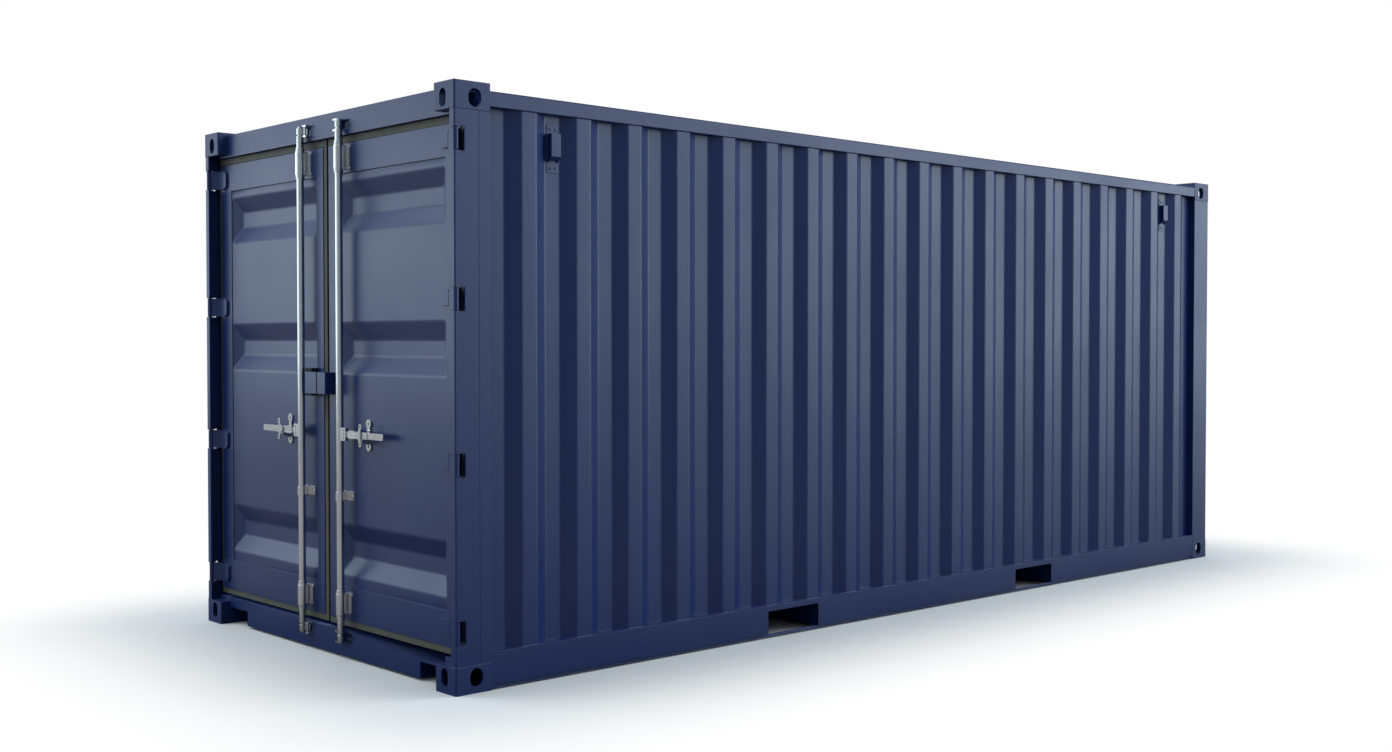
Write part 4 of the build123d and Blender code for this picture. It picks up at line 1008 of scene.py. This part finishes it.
def pale_floor_material():
    """Pale floor: lit and shadowed near the object, fading to the white backdrop."""
    material, tree = new_material("matt_pale_studio_floor")
    place = add(tree, "NewGeometry").outputs["Position"]
    apart = add(tree, "VectorMath", {0: place}, operation="ABSOLUTE").outputs["Vector"]
    half = (cad_box[1][0], cad_box[1][1], 0.0)
    beyond = add(tree, "VectorMath", {0: apart, 1: half}, operation="SUBTRACT").outputs["Vector"]
    outside = add(tree, "VectorMath", {0: beyond, 1: (0.0, 0.0, 0.0)}, operation="MAXIMUM")
    reach = add(tree, "VectorMath", {0: outside.outputs["Vector"]}, operation="LENGTH")
    fade = add(tree, "MapRange", {"Value": reach.outputs["Value"], "From Max": FADE_OVER},
               interpolation_type="SMOOTHSTEP").outputs["Result"]
    rays = add(tree, "LightPath").outputs
    mirrored = add(tree, "Math", {0: rays["Is Glossy Ray"], 1: MIRRORED_SHARE},
                   operation="MULTIPLY").outputs["Value"]
    glow = add(tree, "Math", {0: seen_plainly(tree, rays), 1: mirrored},
               operation="MAXIMUM").outputs["Value"]
    share = add(tree, "Math", {0: glow, 1: fade}, operation="MULTIPLY").outputs["Value"]
    tone = add(tree, "Mix", {"Factor": rays["Is Camera Ray"], "A": FLOOR_UNSEEN,
                             "B": FLOOR_COLOUR}, data_type="RGBA").outputs["Result"]
    matt = add(tree, "BsdfDiffuse", {"Color": tone}).outputs["BSDF"]
    white = add(tree, "Emission", {"Color": WHITE, "Strength": 1.0}).outputs["Emission"]
    mixed = add(tree, "MixShader", {0: share, 1: matt, 2: white})
    add(tree, "OutputMaterial", {"Surface": mixed.outputs["Shader"]})
    return material


ground = bmesh.new()
ground.faces.new([ground.verts.new((x * FLOOR_REACH, y * FLOOR_REACH, 0.0))
                  for x, y in ((-1, -1), (1, -1), (1, 1), (-1, 1))])
floor = linked("studio_floor", mesh_of("studio_floor", ground, pale_floor_material()))
print("floor fades to white over", FADE_OVER, "m")

# %% World
HORIZON = 1.4
OVERHEAD = 1.0
BAND_FROM, BAND_TO = 0.05, 0.4
DAYLIGHT = colour("#e6f6ff")
DARK_SIDES = (
    # compass angle, full effect within, no effect beyond, radiance kept
    (-124, 42, 62, 0.27),
    (22, 36, 46, 0.04),
)
BRIGHT_SPOT = (-36, 8, 24)
BRIGHT_RADIANCE = 3.0


def within(tree, way, heading, inner, outer):
    """1 around a compass heading, fading to 0 between two angles from it."""
    aim = (cos(radians(heading)), sin(radians(heading)), 0.0)
    toward = add(tree, "VectorMath", {0: way, 1: aim}, operation="DOT_PRODUCT").outputs["Value"]
    return add(tree, "MapRange", {"Value": toward, "From Min": cos(radians(outer)),
                                  "From Max": cos(radians(inner))},
               interpolation_type="SMOOTHSTEP").outputs["Result"]


def studio_world():
    """White for the eye; for the object, a pale room with two dark sides and one bright spot."""
    world = bpy.data.worlds.new("studio")
    world.cycles.sampling_method = "NONE"
    world.use_nodes = True
    tree = world.node_tree
    tree.nodes.clear()
    way = add(tree, "TexCoord").outputs["Generated"]
    height = add(tree, "SeparateXYZ", {"Vector": way}).outputs["Z"]
    room = add(tree, "MapRange", {"Value": height, "From Min": BAND_FROM, "From Max": BAND_TO,
                                  "To Min": HORIZON, "To Max": OVERHEAD}).outputs["Result"]
    for heading, inner, outer, kept in DARK_SIDES:
        side = within(tree, way, heading, inner, outer)
        dim = add(tree, "MapRange", {"Value": side, "To Min": 1.0, "To Max": kept})
        room = add(tree, "Math", {0: room, 1: dim.outputs["Result"]},
                   operation="MULTIPLY").outputs["Value"]
    glow = add(tree, "Math", {0: within(tree, way, *BRIGHT_SPOT), 1: BRIGHT_RADIANCE},
               operation="MULTIPLY").outputs["Value"]
    room = add(tree, "Math", {0: room, 1: glow}, operation="ADD").outputs["Value"]
    seen = seen_plainly(tree, add(tree, "LightPath").outputs)
    strength = add(tree, "Mix", {"Factor": seen, "A": room, "B": 1.0},
                   data_type="FLOAT").outputs["Result"]
    tint = add(tree, "Mix", {"Factor": seen, "A": DAYLIGHT, "B": WHITE},
               data_type="RGBA").outputs["Result"]
    light = add(tree, "Background", {"Color": tint, "Strength": strength})
    add(tree, "OutputWorld", {"Surface": light.outputs["Background"]})
    return world


scene.world = studio_world()
print("room of", OVERHEAD, "to", HORIZON, "with", len(DARK_SIDES), "dark sides")

# %% Light panels
DOORWAY = Vector((-3.03, 0.0, 1.3))
WALL_MIDDLE = Vector((-0.5, -1.22, 1.3))
PANELS = (
    # name, target, compass angle, height angle, distance, width, height, radiance
    ("door_side_panel", DOORWAY, 124, 8, 8.0, 4.0, 2.5, 1.5),
    ("door_sky_panel", DOORWAY, 132, 50, 9.0, 5.0, 4.0, 3.0),
    ("far_side_panel", WALL_MIDDLE, -40, 40, 9.0, 5.0, 3.5, 4.0),
)

for name, target, heading, lift, distance, width, height, radiance in PANELS:
    heading, lift = radians(heading), radians(lift)
    way = Vector((cos(heading) * cos(lift), sin(heading) * cos(lift), sin(lift)))
    panel = bpy.data.lights.new(name, "AREA")
    panel.shape = "RECTANGLE"
    panel.size = width
    panel.size_y = height
    panel.energy = radiance * pi * width * height
    panel.color = DAYLIGHT[:3]
    lamp = linked(name, panel)
    lamp.location = target + way * distance
    lamp.rotation_euler = way.to_track_quat("Z", "Y").to_euler()
    print(name, "gives", round(panel.energy), "W")

scene.view_settings.view_transform = "Standard"

# %% Finish
print("CAD box", [tuple(round(v, 4) for v in corner) for corner in cad_box])
